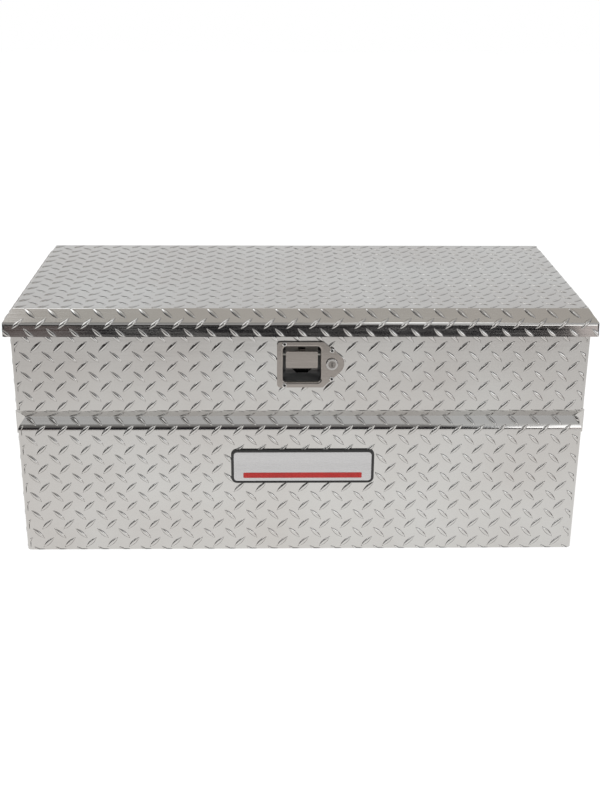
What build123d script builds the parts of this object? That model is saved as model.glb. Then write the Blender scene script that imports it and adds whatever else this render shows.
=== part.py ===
from build123d import *
import os
from math import cos, radians, sin, sqrt, tan

# Truck tool box: a sheet-aluminium chest with one lid, a full-length hinge at the rear, a paddle
# latch at the front and two gas struts.  Millimetres, +Z up, the front faces -Y.
# The origin is the bottom centre of the whole box.

# ---------------------------------------------------------------- driving dimensions
# Body
body_width = 924.0
body_depth = 417.0
body_height = 406.0        # underside of the floor to the top of the rim
wall = 2.0                 # body sheet
corner_radius = 8.0        # outside radius of the upright corners
wing_length = 30.0         # how far the front and back sheets wrap round the ends
floor_flange = 25.0        # upstand of the floor tray
tray_bend = 3.0            # outside bend radius of the floor tray
rim_width = 26.0           # front and end rails of the rim
rear_rim_width = 46.0      # the rear rail also carries the hinge
rim_lip = 12.0             # height of the rails, with their turned-down lip
weld_radius = 2.0          # inside seam welds

# Pressed groove across the front
groove_top = 252.0         # height of its upper edge above the ground
groove_ledge = 13.0        # height of the undercut upper facet
groove_depth = 9.0
groove_lean = 28.0         # lean of the lower facet from the vertical, degrees
groove_bend = 24.0         # radius that blends the lower facet into the wall
groove_inset = 1.0         # end of the groove to the side of the body
groove_hip = 12.0          # length of the sloping end facets

# Lid
lid_sheet = 2.0
lid_overhang = 12.0        # front skirt ahead of the front wall
side_overhang = 8.5        # side skirts outside the end walls
seal_height = 15.0         # rim to the underside of the lid
bevel_drop = 20.0          # height of the sloping border
front_bevel = 20.0         # its width along the front
side_bevel = 16.0          # and along the sides
skirt_height = 21.0
skirt_flare = 2.0          # outward lean of the skirts, degrees
lid_bend = 2.5             # outside radius of the fold from the top to the border
skirt_bend = 8.0           # and from the border to the skirt
skirt_corner = 4.5         # outside radius of the skirt's front corners
corner_ease = 0.02         # how far that rounding starts outside the skirts
gasket_width = 14.0
gasket_round = 3.5         # rounding of its lower edges
seal_gap = 0.3             # between the gasket and the rim
hat_length = 760.0         # stiffening channels under the lid
hat_front = 125.0          # front wall to the first channel
hat_rear = 275.0           # and to the second
hat_crown = 30.0
hat_foot = 12.0
hat_height = 12.0
hat_sheet = 1.5

# Hinge
pin_diameter = 4.0
pin_clearance = 0.05       # radial, in every bore that turns on a pin
hinge_leaf = 1.5           # leaf thickness
leaf_width = 22.0          # cover of each leaf on its flange
hinge_margin = 12.0        # end of the hinge to the side of the body
knuckle_pitch = 37.5
knuckle_gap = 0.3
pin_setback = 3.0          # pin axis behind the back wall
rivet_shank = 4.0
rivet_head = 7.0
rivet_head_height = 1.2
rivet_head_bevel = 0.7     # share of a rivet head's height that is bevelled
rivet_tail = 6.0
rivet_tail_height = 1.8
rivet_spacing = 100.0

# Latch
latch_drop = 73.8          # rim to the centre of the latch cup
cup_width = 60.0
cup_height = 59.6
cup_depth = 22.8
cup_sheet = 1.2
cup_corner = 6.0           # radius of the opening's corners
cup_roll = 3.2             # rolled edge from the plate into the cup
cup_heel = 4.0             # radius along the top of the cup's rear wall
cup_scoop = 14.0           # and along its foot
cup_clearance = 0.8        # round the cup in the wall
plate_sheet = 1.8          # face plate
plate_height = 77.4
plate_drop = 0.3           # its centre below the cup's
plate_margin = 9.8         # cup to the plate's left edge
plate_flat = 34.0          # cup centre to the end of the plate's level edges
plate_corner = 5.5
plate_edge = 0.7           # rounding of its front edge
plate_nose = 19.6          # radius round the lock
pad_sheet = 1.6            # rubber pad under the plate
plate_rivet = 4.0          # diameter
plate_rivet_head = 6.6     # diameter
plate_rivet_height = 1.6   # of the head
plate_rivet_tail = 4.9     # diameter
rivet_inset = 3.8          # rivets to the plate's level edges
nose_inset = 14.8          # and the two beside the lock
rivet_shift = 2.2          # left rivets inside the cup's edge
lock_offset = 48.0         # cup centre to the lock
lock_rise = 1.2            # lock above the cup centre
lock_collar = 9.8          # radius
collar_height = 3.2
collar_round = 1.2         # rounding of its front edge
lock_barrel = 8.5          # radius
lock_length = 24.0         # behind the wall's face
nut_size = 24.0            # across flats
nut_height = 5.0
plug_radius = 6.0
plug_recess = 0.6          # behind the collar's face
key_slot = 8.0             # length and depth
key_width = 1.4
cam_width = 12.0
cam_sheet = 2.5
cam_play = 1.5             # end of the cam to the latch frame when locked
cam_screw = 2.0            # radius
paddle_width = 51.0
paddle_height = 28.0
paddle_sheet = 2.5
paddle_recess = 3.0        # paddle behind the face of the wall
paddle_drop = 10.0         # cup opening to the top of the paddle
tab_top = 33.0             # finger tab under the paddle
tab_bottom = 18.0
tab_length = 10.5
tab_fold = 30.0            # lean of the tab into the cup, degrees
tail_width = 10.0
tail_reach = 4.0           # paddle's tail behind the cup
ear_sheet = 2.0
paddle_pin = 4.0           # diameter
paddle_pin_end = 1.3       # pin outside the cup, on each side
pin_margin = 1.5           # sheet round a pin's bore
spring_wire = 1.0
spring_pitch = 1.15        # from turn to turn, in wire diameters
spring_clearance = 0.3     # round the pin
paddle_spring_turns = 4
paddle_spring_place = 6.0  # beside the paddle's tail
hook_spring_turns = 2
hook_spring_place = 0.6    # beside the hook
frame_gap = 12.0           # between the cheeks of the latch frame
frame_sheet = 2.0
hook_sheet = 5.0
hook_hub = 7.0             # radius
hook_pin = 6.0             # diameter
hook_pin_head = 9.0        # diameter
hook_pin_head_height = 1.2
hook_setback = 25.0        # hook pin behind the cup
hook_rise = 7.2            # hook pin above the cup centre
hook_arm = 6.0             # width of the arm
hook_lean = 8.0            # arm's centre ahead of the hook pin at its top
beak_height = 7.0
beak_rise = 1.0            # beak above the rod
beak_lip = 2.0             # thickness of its tip
touch_gap = 0.5            # hook to the paddle's tail
striker_rod = 6.0          # diameter
striker_span = 28.0        # between its legs
striker_bend = 5.0
striker_reach = 26.0       # rim to the centre of the rod, downwards
striker_setback = 4.0      # rod behind the hook pin
striker_width = 26.0
striker_length = 72.0
striker_sheet = 2.5
striker_stand = 10.0       # bracket's crown below the lid
striker_nut = 10.0         # across flats
striker_nut_height = 4.0
striker_end = 1.0          # rod above its upper nuts
latch_play = 1.3           # hook's beak to the rod

# Gas struts
strut_side = 45.0          # strut axis to the side of the body
lid_stud_forward = 80.0    # from the hinge pin
lid_stud_drop = 8.0
body_stud_forward = 190.0
body_stud_drop = 190.0
tube_radius = 9.0
tube_wall = 1.2
tube_length = 150.0
tube_end = 4.0             # thickness of its closed ends
tube_bevel = 2.0           # bevel of its upper end
rod_radius = 4.0
piston_length = 8.0
piston_rest = 6.0          # piston above the tube's foot with the lid shut
ball_radius = 5.0
socket_radius = 7.5
socket_bevel = 3.5         # of its closed end
socket_collar = 6.75       # radius where a fitting meets the strut
socket_length = 20.0       # ball centre to the fitting's end
stud_length = 12.5         # ball centre to its bracket
stud_neck = 3.0            # radius
stud_gap = 0.2             # lid stud to its bracket
bracket_sheet = 2.5
bracket_width = 26.0
bracket_foot = 14.0
fit = 0.05                 # radial running clearance
over = 1.0                 # how far a cut runs past the faces it opens

# ---------------------------------------------------------------- derived places
knuckle_radius = pin_diameter / 2 + pin_clearance + hinge_leaf
skirt_reach = skirt_height * tan(radians(skirt_flare))
front_reach = lid_overhang + skirt_reach
rear_reach = pin_setback + knuckle_radius
front = -(front_reach + body_depth + rear_reach) / 2 + front_reach
back = front + body_depth
end = body_width / 2
hinge_length = body_width - 2 * hinge_margin
rim_under = body_height - wall
lid_under = body_height + seal_height
lid_top = lid_under + lid_sheet
skirt_top = lid_top - bevel_drop
skirt_bottom = skirt_top - skirt_height
skirt_front = front - lid_overhang
skirt_side = end + side_overhang
pin_y = back + pin_setback
pin_z = body_height + knuckle_radius
hinge_flange = pin_z + knuckle_radius       # underside of the lid's rear flange
cup_z = body_height - latch_drop
strut_x = end - strut_side
leaf_rivet_y = back - (leaf_width + pin_setback) / 2
rivet_places = [
    (i - (hinge_length // rivet_spacing - 1) / 2) * rivet_spacing
    for i in range(int(hinge_length // rivet_spacing))
]


# ---------------------------------------------------------------- helpers
UPWARD = (Align.CENTER, Align.CENTER, Align.MIN)
DOWNWARD = (Align.CENTER, Align.CENTER, Align.MAX)
REARWARD = (Align.CENTER, Align.MIN)


def block(x0, x1, y0, y1, z0, z1):
    """A box between two corners."""
    return Pos(x0, y0, z0) * Box(x1 - x0, y1 - y0, z1 - z0, align=(Align.MIN, Align.MIN, Align.MIN))


def round_x(radius, x0, x1, y, z):
    """A round bar along X."""
    return Pos(x0, y, z) * Rot(0, 90, 0) * Cylinder(radius, x1 - x0, align=UPWARD)


def round_y(radius, x, y0, y1, z):
    """A round bar along Y."""
    return Pos(x, y0, z) * Rot(-90, 0, 0) * Cylinder(radius, y1 - y0, align=UPWARD)


def round_z(radius, x, y, z0, z1):
    """A round bar along Z."""
    return Pos(x, y, z0) * Cylinder(radius, z1 - z0, align=UPWARD)


def along_x(profile, x0, x1):
    """A profile drawn in Y and Z, carried along X."""
    return extrude(Plane.YZ.offset(x0) * profile, amount=x1 - x0)


def along_y(profile, y0, y1):
    """A profile drawn in X and Z, carried along Y."""
    facing = Plane(origin=(0, y1, 0), x_dir=(1, 0, 0), z_dir=(0, -1, 0))
    return extrude(facing * profile, amount=y1 - y0)


def along_z(profile, z0, z1):
    """A profile drawn in X and Y, carried up Z."""
    return extrude(Plane.XY.offset(z0) * profile, amount=z1 - z0)


def outline(*points):
    """A closed straight-sided face."""
    return make_face(Polyline(*points, close=True))


def leaf_drilled(shape, z):
    """The piece with holes for the hinge rivets through its sheet above height z."""
    top = z + max(wall, lid_sheet) + over
    for x in rivet_places:
        shape = shape - round_z(rivet_shank / 2 + fit, x, leaf_rivet_y, z - over, top)
    return shape


def mirrored(shape):
    """The same piece on the other side of the box."""
    return mirror(shape, about=Plane.YZ)


def save(node, *shapes):
    """Write one sub-part; several shapes stay separate solids."""
    solids = []
    for shape in shapes:
        solids += list(shape.solids())
    piece = solids[0] if len(solids) == 1 else Compound(children=solids)
    export_step(piece, "parts/" + node + ".step")


# ---------------------------------------------------------------- body sheets
def wrapped_sheet():
    """Plan of the front sheet: a flat wall with rounded corners and a short wing at each end."""
    outer = Pos(0, front) * Rectangle(body_width, wing_length, align=REARWARD)
    outer = fillet(outer.vertices().group_by(Axis.Y)[0], corner_radius)
    hollow = Pos(0, front + wall) * Rectangle(body_width - 2 * wall, wing_length, align=REARWARD)
    hollow = fillet(hollow.vertices().group_by(Axis.Y)[0], corner_radius - wall)
    return outer - hollow


def groove_section():
    """Section of the groove, open at the front: undercut ledge, leaning facet, large bend."""
    lean = radians(groove_lean)
    bend_depth = groove_bend * (1 - cos(lean))
    crease_z = groove_top - groove_ledge
    facet_z = crease_z - (groove_depth - bend_depth) / tan(lean)
    foot_z = facet_z - groove_bend * sin(lean)
    middle = (
        front + groove_bend * (1 - cos(lean / 2)),
        foot_z + groove_bend * sin(lean / 2),
    )
    straight = Polyline(
        (front - wall, groove_top),
        (front, groove_top),
        (front + groove_depth, crease_z),
        (front + bend_depth, facet_z),
    )
    blend = ThreePointArc((front + bend_depth, facet_z), middle, (front, foot_z))
    close = Polyline((front, foot_z), (front - wall, foot_z), (front - wall, groove_top))
    return make_face([straight, blend, close])


def groove_plan():
    """Plan of the groove: full depth in the middle, sloping facets at the ends."""
    half = end - groove_inset
    steep = half - groove_hip
    lead = groove_hip * wall / groove_depth
    return outline(
        (-half - lead, front - wall),
        (half + lead, front - wall),
        (steep, front + groove_depth),
        (-steep, front + groove_depth),
    )


def groove_tool(skin):
    """The groove as a solid, grown by skin on its inner side."""
    section = groove_section()
    plan = groove_plan()
    if skin:
        section = offset(section, amount=skin, kind=Kind.INTERSECTION)
        plan = offset(plan, amount=skin, kind=Kind.INTERSECTION)
    run = along_x(section, -end, end)
    depth = along_z(plan, 0, body_height)
    return run & depth


def front_sheets():
    """The upper and lower front sheets, which meet in the groove's inner crease."""
    sheet = along_z(wrapped_sheet(), 0, rim_under)
    inside = block(-end, end, front, front + wing_length, 0, rim_under)
    sheet = sheet + (groove_tool(wall) & inside) - groove_tool(0)
    crease_z = groove_top - groove_ledge
    above = block(-end, end, front, front + wing_length, crease_z, rim_under)
    below = block(-end, end, front, front + wing_length, 0, crease_z)
    return sheet & above, sheet & below


def back_sheet():
    """The back wall, wrapped round the ends as the front is."""
    middle_y = (front + back) / 2
    return mirror(along_z(wrapped_sheet(), 0, rim_under), about=Plane.XZ.offset(-middle_y))


def end_sheet():
    """One flat end wall, butt-welded between the wings."""
    return block(end - wall, end, front + wing_length, back - wing_length, 0, rim_under)


def floor_tray():
    """The floor, a shallow tray that stands inside the walls."""
    width = body_width - 2 * wall
    depth = body_depth - 2 * wall
    plan = Pos(0, (front + back) / 2) * RectangleRounded(width, depth, corner_radius)
    tray = along_z(plan, 0, floor_flange)
    tray = fillet(tray.faces().sort_by(Axis.Z)[0].edges(), tray_bend)
    return offset(tray, amount=-wall, openings=tray.faces().sort_by(Axis.Z)[-1])


def seam_welds():
    """Upright inside welds where the wings meet the end walls."""
    inner_half = Rectangle(2 * weld_radius, 2 * weld_radius, align=(Align.MAX, Align.CENTER))
    bead = Pos(end - wall, 0) * (Circle(weld_radius) & inner_half)
    welds = []
    for y in (front + wing_length, back - wing_length):
        weld = along_z(Pos(0, y) * bead, floor_flange, body_height - rim_lip - wall)
        welds += [weld, mirrored(weld)]
    return welds


def rim_rails():
    """Four mitred rails that cap the walls: a flat flange with a turned-down inner lip."""
    inner_end = end - rim_width
    inner_front = front + rim_width
    inner_back = back - rear_rim_width
    middle_y = (inner_front + inner_back) / 2
    mouth = Pos(0, middle_y) * Rectangle(2 * inner_end, inner_back - inner_front)
    collar = Pos(0, middle_y) * Rectangle(2 * (inner_end + wall), inner_back - inner_front + 2 * wall)
    deck = Pos(0, (front + back) / 2) * RectangleRounded(body_width, body_depth, corner_radius)
    ring = along_z(deck - mouth, rim_under, body_height)
    ring = ring + along_z(collar - mouth, body_height - rim_lip, rim_under)
    sides = (-1, 1, 1, -1)
    outer = list(zip([side * end for side in sides], (front, front, back, back)))
    inner_ys = (inner_front, inner_front, inner_back, inner_back)
    inner = list(zip([side * inner_end for side in sides], inner_ys))
    rails = {}
    for i, name in enumerate(("rim_front", "rim_right", "rim_back", "rim_left")):
        j = (i + 1) % 4
        wedge = along_z(outline(outer[i], outer[j], inner[j], inner[i]), 0, body_height)
        rails[name] = ring & wedge
    rails["rim_back"] = leaf_drilled(rails["rim_back"], rim_under)
    return rails


# ---------------------------------------------------------------- lid
def lid_front_section(inset):
    """Section through the closed lid from front to rear, with every face moved in by inset."""
    foot = inset + over if inset else 0
    toe = skirt_front - (skirt_height + foot) * tan(radians(skirt_flare))
    section = outline(
        (back, lid_top),
        (back, skirt_bottom - foot),
        (toe, skirt_bottom - foot),
        (skirt_front, skirt_top),
        (skirt_front + front_bevel, lid_top),
    )
    if inset:
        section = offset(section, amount=-inset, kind=Kind.INTERSECTION)
    across = section.vertices().sort_by(Axis.X)
    section = fillet(across[1], skirt_bend - inset)
    across = section.vertices().filter_by(lambda v: v.X < 0).sort_by(Axis.X)
    return fillet(across[-1], lid_bend - inset)


def lid_side_section(inset):
    """Section through the closed lid from side to side, with every face moved in by inset."""
    foot = inset + over if inset else 0
    toe = skirt_side + (skirt_height + foot) * tan(radians(skirt_flare))
    half = [(toe, skirt_bottom - foot), (skirt_side, skirt_top), (skirt_side - side_bevel, lid_top)]
    section = outline(*half, *[(-x, z) for x, z in reversed(half)])
    if inset:
        section = offset(section, amount=-inset, kind=Kind.INTERSECTION)
    section = fillet(section.vertices().group_by(Axis.Y)[1], skirt_bend - inset)
    return fillet(section.vertices().group_by(Axis.Y)[-1], lid_bend - inset)


def lid_form(inset):
    """The lid's closed form with every face moved in by inset: bevelled top and flared skirts."""
    reach = skirt_side + skirt_height
    form = along_x(lid_front_section(inset), -reach, reach)
    form = form & along_y(lid_side_section(inset), front - reach, back + over)
    height = lid_top - skirt_bottom + 2 * over + 2 * inset
    low = skirt_bottom - over - 2 * inset
    toe = skirt_reach + (over + 2 * inset) * tan(radians(skirt_flare)) - inset + corner_ease
    half = skirt_side + toe
    radius = skirt_corner - inset
    plan = Pos(0, skirt_front - toe) * Rectangle(2 * half, 2 * body_depth, align=REARWARD)
    plan = fillet(plan.vertices().group_by(Axis.Y)[0], radius + height * tan(radians(skirt_flare)))
    return form & extrude(Plane.XY.offset(low) * plan, amount=height, taper=skirt_flare)


def lid_sheet_form():
    """The folded lid: thin all over, open below, with a return flange for the hinge at the rear."""
    shell = lid_form(0) - lid_form(lid_sheet)
    inner_side = skirt_side - lid_sheet
    shell = shell - block(-inner_side, inner_side, back - 2 * lid_sheet, back + over, 0, hinge_flange)
    half = skirt_side - side_bevel
    fore = back - leaf_width - pin_setback
    flange = block(-half, half, fore, back, hinge_flange, hinge_flange + lid_sheet)
    shell = shell + (flange & lid_form(lid_sheet / 2))
    return leaf_drilled(shell, hinge_flange)


def hat_channel(y):
    """A stiffening channel spot-welded under the lid."""
    half = hat_crown / 2
    section = Polyline(
        (y - half - hat_foot, lid_under - hat_sheet / 2),
        (y - half, lid_under - hat_sheet / 2),
        (y - half + hat_sheet, lid_under - hat_height + hat_sheet / 2),
        (y + half - hat_sheet, lid_under - hat_height + hat_sheet / 2),
        (y + half, lid_under - hat_sheet / 2),
        (y + half + hat_foot, lid_under - hat_sheet / 2),
    )
    return along_x(trace(section, hat_sheet), -hat_length / 2, hat_length / 2)


def lid_gasket():
    """A foam seal bonded under the lid, over the rim."""
    crease_x = skirt_side - side_bevel
    seal_front = skirt_front + front_bevel + lid_sheet
    seal_back = back - leaf_width - pin_setback - lid_sheet
    middle_y = (seal_front + seal_back) / 2
    width = 2 * (crease_x - lid_sheet)
    outer = Pos(0, middle_y) * RectangleRounded(width, seal_back - seal_front, gasket_width)
    inner = offset(outer, amount=-gasket_width)
    ring = along_z(outer - inner, body_height + seal_gap, lid_under)
    return fillet(ring.faces().sort_by(Axis.Z)[0].edges(), gasket_round)


# ---------------------------------------------------------------- hinge
def hinge_leaf_piece(upper):
    """One leaf: a strip on its flange and every second knuckle on the pin."""
    sign = 1 if upper else -1
    face_z = pin_z + sign * knuckle_radius
    low = min(face_z, face_z - sign * hinge_leaf)
    half = hinge_length / 2
    notch = pin_y - knuckle_radius - knuckle_gap
    leaf = block(-half, half, back - leaf_width, notch, low, low + hinge_leaf)
    bridge = Pos((notch + pin_y) / 2, low + hinge_leaf / 2) * Rectangle(pin_y - notch, hinge_leaf)
    barrel = Pos(pin_y, pin_z) * Circle(knuckle_radius)
    bore = Pos(pin_y, pin_z) * Circle(pin_diameter / 2 + pin_clearance)
    section = barrel + bridge - bore
    first = 0 if upper else 1
    count = int(hinge_length // knuckle_pitch)
    for i in range(first, count, 2):
        start = -half + i * knuckle_pitch + knuckle_gap / 2
        leaf = leaf + along_x(section, start, start + knuckle_pitch - knuckle_gap)
    return leaf_drilled(leaf, low)


def rivet(shank, head, head_height, tail, grip):
    """A rivet along +Z: bevelled head under its seat at zero, tail beyond the grip."""
    cap = Cylinder(head / 2, head_height, align=DOWNWARD)
    cap = chamfer(cap.edges().group_by(Axis.Z)[0], head_height * rivet_head_bevel)
    stem = Cylinder(shank / 2, grip, align=UPWARD)
    upset = Pos(0, 0, grip) * Cylinder(tail / 2, rivet_tail_height, align=UPWARD)
    return cap + stem + upset


def hinge_rivets(upper):
    """Blind rivets through a leaf and its flange."""
    sign = 1 if upper else -1
    sheet = lid_sheet if upper else wall
    seat_z = pin_z + sign * (knuckle_radius - hinge_leaf)
    grip = hinge_leaf + sheet
    piece = rivet(rivet_shank, rivet_head, rivet_head_height, rivet_tail, grip)
    if not upper:
        piece = Rot(180, 0, 0) * piece
    return [Pos(x, leaf_rivet_y, seat_z) * piece for x in rivet_places]


# ---------------------------------------------------------------- latch places
pad_front = front - pad_sheet
plate_front = pad_front - plate_sheet
plate_z = cup_z - plate_drop
cup_rear = pad_front + cup_depth + cup_sheet
lock_z = cup_z + lock_rise
paddle_y = front + paddle_recess
paddle_back = paddle_y + paddle_sheet
paddle_top = cup_z + cup_height / 2 - paddle_drop
paddle_foot = paddle_top - paddle_height
paddle_pin_y = paddle_back + paddle_pin / 2 + pin_margin
paddle_pin_z = paddle_top - paddle_sheet - paddle_pin / 2 - pin_margin
tail_end = cup_rear + tail_reach
hook_pin_y = cup_rear + hook_setback
hook_pin_z = cup_z + hook_rise
striker_y = hook_pin_y + striker_setback
striker_z = body_height - striker_reach
crown_z = lid_under - striker_stand
slot_top = paddle_top + pin_margin
slot_foot = hook_pin_z - hook_hub - pin_margin


def plate_outline():
    """The face plate: square round the cup, tapering to a round nose at the lock."""
    left = -cup_width / 2 - plate_margin
    half = plate_height / 2
    body = Pos((left + plate_flat) / 2, plate_z) * Rectangle(plate_flat - left, plate_height)
    nose = Pos(lock_offset, lock_z) * Circle(plate_nose)
    whole = make_hull(body.edges() + nose.edges())
    return fillet(whole.vertices().group_by(Axis.X)[0], plate_corner)


def cup_outline(grow):
    """The cup's opening, grown evenly."""
    width = cup_width + 2 * grow
    height = cup_height + 2 * grow
    return Pos(0, cup_z) * RectangleRounded(width, height, cup_corner + grow)


def cup_form(grow):
    """The cup's inside, grown evenly: square at the front, scooped towards its foot."""
    rear = cup_rear - cup_sheet + grow
    low = cup_z - cup_height / 2 - grow
    high = cup_z + cup_height / 2 + grow
    side = Pos((plate_front + rear) / 2, (low + high) / 2) * Rectangle(rear - plate_front, high - low)
    rear_corners = side.vertices().group_by(Axis.X)[-1].sort_by(Axis.Y)
    side = fillet(rear_corners[0], cup_scoop + grow)
    upper_corner = side.vertices().group_by(Axis.X)[-1].sort_by(Axis.Y)[-1]
    side = fillet(upper_corner, cup_heel + grow)
    half = cup_width / 2 + grow
    return along_x(side, -half, half) & along_y(cup_outline(grow), plate_front, rear)


def plate_rivet_places():
    """Centres of the four face-plate rivets."""
    left = -cup_width / 2 + rivet_shift
    tall = plate_height / 2 - rivet_inset
    short = plate_height / 2 - nose_inset
    z = plate_z
    return [(left, z + tall), (left, z - tall), (lock_offset, z + short), (lock_offset, z - short)]


def drilled(shape, grow):
    """The piece with the face plate's rivet holes and the lock's hole."""
    fore = plate_front - over
    rear = front + wall + over
    for x, z in plate_rivet_places():
        shape = shape - round_y(plate_rivet / 2 + fit, x, fore, rear, z)
    return shape - round_y(lock_barrel + grow, lock_offset, fore, rear, lock_z)


def latch_pan():
    """Face plate and cup, pressed in one."""
    face = along_y(plate_outline(), plate_front, pad_front)
    face = fillet(face.faces().sort_by(Axis.Y)[0].edges(), plate_edge)
    cup = cup_form(cup_sheet) & block(-cup_width, cup_width, pad_front, cup_rear, 0, body_height)
    pan = face + cup - cup_form(0)
    mouth = pan.faces().sort_by(Axis.Y)[0].inner_wires()[0]
    pan = fillet(mouth.edges(), cup_roll)
    half = frame_gap / 2
    pan = pan - block(-half, half, cup_rear - cup_sheet - over, cup_rear + over, slot_foot, slot_top)
    pan = pan - round_x(paddle_pin / 2 + fit, -cup_width, cup_width, paddle_pin_y, paddle_pin_z)
    return drilled(pan, fit)


def latch_pad():
    """Rubber pad between the face plate and the wall."""
    pad = along_y(plate_outline() - cup_outline(cup_sheet), pad_front, front)
    return drilled(pad, fit)


def latch_rivets():
    """Blind rivets through the face plate and the wall."""
    grip = plate_sheet + pad_sheet + wall
    piece = rivet(plate_rivet, plate_rivet_head, plate_rivet_height, plate_rivet_tail, grip)
    return [Pos(x, plate_front, z) * Rot(-90, 0, 0) * piece for x, z in plate_rivet_places()]


def paddle():
    """The pull plate: finger tab folded in below, ears on the pin, tail through the cup."""
    half = paddle_width / 2
    plate = RectangleRounded(paddle_width, paddle_height, paddle_sheet)
    piece = along_y(Pos(0, paddle_top - paddle_height / 2) * plate, paddle_y, paddle_back)
    fall = tab_length * cos(radians(tab_fold))
    fold = tab_length * sin(radians(tab_fold))
    tab = outline(
        (paddle_y, paddle_foot),
        (paddle_back, paddle_foot + paddle_sheet / 2),
        (paddle_back + fold, paddle_foot - fall + paddle_sheet / 2),
        (paddle_y + fold, paddle_foot - fall),
    )
    taper = outline(
        (-tab_top / 2, paddle_foot + paddle_sheet),
        (tab_top / 2, paddle_foot + paddle_sheet),
        (tab_top / 2, paddle_foot),
        (tab_bottom / 2, paddle_foot - fall),
        (-tab_bottom / 2, paddle_foot - fall),
        (-tab_top / 2, paddle_foot),
    )
    piece = piece + (along_x(tab, -half, half) & along_y(taper, paddle_y, paddle_back + 2 * fold))
    tail_low = paddle_top - paddle_sheet
    tail = block(-tail_width / 2, tail_width / 2, paddle_y, tail_end, tail_low, paddle_top)
    ear_radius = paddle_pin / 2 + pin_margin
    reach = paddle_pin_y - paddle_y
    web = Pos(paddle_y + reach / 2, paddle_pin_z) * Rectangle(reach, 2 * ear_radius)
    ear = along_x(Pos(paddle_pin_y, paddle_pin_z) * Circle(ear_radius) + web, half - ear_sheet, half)
    piece = piece + tail + ear + mirrored(ear)
    return piece - round_x(paddle_pin / 2 + fit, -half - over, half + over, paddle_pin_y, paddle_pin_z)


def coil_spring(pin, start, turns, y, z):
    """A torsion spring of close turns round a pin along X."""
    radius = pin / 2 + spring_clearance + spring_wire / 2
    pitch = spring_wire * spring_pitch
    path = Helix(pitch, pitch * turns, radius)
    section = Plane(origin=path @ 0, z_dir=path % 0) * RegularPolygon(spring_wire / 2, 6)
    coil = sweep(section, path=path, is_frenet=True)
    return Pos(start, y, z) * Rot(0, 90, 0) * coil


def latch_frame():
    """U-shaped bracket behind the cup that carries the hook's pin."""
    half = frame_gap / 2 + frame_sheet
    rear = hook_pin_y + hook_hub + pin_margin
    low = slot_foot - frame_sheet
    high = slot_top + frame_sheet
    side = Pos((cup_rear + rear) / 2, (low + high) / 2) * Rectangle(rear - cup_rear, high - low)
    side = fillet(side.vertices().group_by(Axis.X)[-1], hook_hub)
    frame = along_x(side, -half, half)
    gap = frame_gap / 2
    frame = frame - block(-gap, gap, cup_rear + frame_sheet, rear + over, low - over, high + over)
    frame = frame - block(-gap, gap, cup_rear - over, rear, slot_foot, slot_top)
    return frame - round_x(hook_pin / 2 + fit, -half - over, half + over, hook_pin_y, hook_pin_z)


def hook_pin_piece():
    """The hook's pin, headed outside both cheeks."""
    half = frame_gap / 2 + frame_sheet
    pin = round_x(hook_pin / 2, -half, half, hook_pin_y, hook_pin_z)
    head = round_x(hook_pin_head / 2, half, half + hook_pin_head_height, hook_pin_y, hook_pin_z)
    return pin + head + mirrored(head)


def hook_piece():
    """The sprung hook: hub, tail under the paddle's, arm and rearward beak over the striker."""
    tail_top = paddle_top - paddle_sheet - touch_gap
    tail_tip = cup_rear + pin_margin
    arm_y = hook_pin_y - hook_lean
    beak_z = striker_z + striker_rod / 2 + beak_rise
    beak_tip = striker_y - striker_rod / 2 - latch_play
    hub = Pos(hook_pin_y, hook_pin_z) * Circle(hook_hub)
    tail = outline(
        (tail_tip, tail_top),
        (hook_pin_y, hook_pin_z + hook_hub),
        (hook_pin_y, hook_pin_z - hook_hub / 2),
        (tail_tip, tail_top - hook_arm),
    )
    arm = outline(
        (hook_pin_y - hook_hub * 0.97, hook_pin_z),
        (arm_y - hook_arm / 2, striker_z),
        (arm_y - hook_arm / 2, beak_z + beak_height * 0.6),
        (arm_y, beak_z + beak_height),
        (beak_tip, beak_z + beak_lip),
        (beak_tip, beak_z),
        (arm_y + hook_arm / 2, beak_z),
        (arm_y + hook_arm / 2, striker_z),
        (hook_pin_y + hook_hub * 0.9, hook_pin_z + hook_hub * 0.4),
    )
    plate = along_x(hub + tail + arm, -hook_sheet / 2, hook_sheet / 2)
    return plate - round_x(hook_pin / 2 + fit, -hook_sheet, hook_sheet, hook_pin_y, hook_pin_z)


def lock_barrel_piece():
    """The lock's housing: a rounded collar in front and a barrel through the wall."""
    collar = round_y(lock_collar, lock_offset, plate_front - collar_height, plate_front, lock_z)
    collar = fillet(collar.faces().sort_by(Axis.Y)[0].edges(), collar_round)
    rear = front + lock_length
    barrel = round_y(lock_barrel, lock_offset, plate_front, rear, lock_z)
    fore = plate_front - collar_height
    return collar + barrel - round_y(plug_radius + fit, lock_offset, fore - over, rear + over, lock_z)


def lock_plug():
    """The turning plug with its key slot and the screw hole for the cam."""
    face = plate_front - collar_height + plug_recess
    rear = front + lock_length + fit
    plug = round_y(plug_radius, lock_offset, face, rear, lock_z)
    slot = Pos(lock_offset, lock_z) * Rectangle(key_width, key_slot)
    plug = plug - along_y(slot, face - over, face + key_slot)
    return plug - round_y(cam_screw + fit, lock_offset, rear - 3 * cam_sheet, rear + over, lock_z)


def lock_nut():
    """Hexagon nut that clamps the barrel to the wall."""
    nut = Pos(lock_offset, lock_z) * (RegularPolygon(nut_size / sqrt(3), 6) - Circle(lock_barrel + fit))
    return along_y(nut, front + wall, front + wall + nut_height)


def lock_cam():
    """The cam, hanging down while the lock is open."""
    reach = lock_offset - frame_gap / 2 - frame_sheet - cam_play
    half = cam_width / 2
    blade = Circle(half) + Rectangle(cam_width, reach, align=(Align.CENTER, Align.MAX))
    start = front + lock_length + fit
    cam = along_y(Pos(lock_offset, lock_z) * blade, start, start + cam_sheet)
    return cam - round_y(cam_screw + fit, lock_offset, start - over, start + cam_sheet + over, lock_z)


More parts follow.
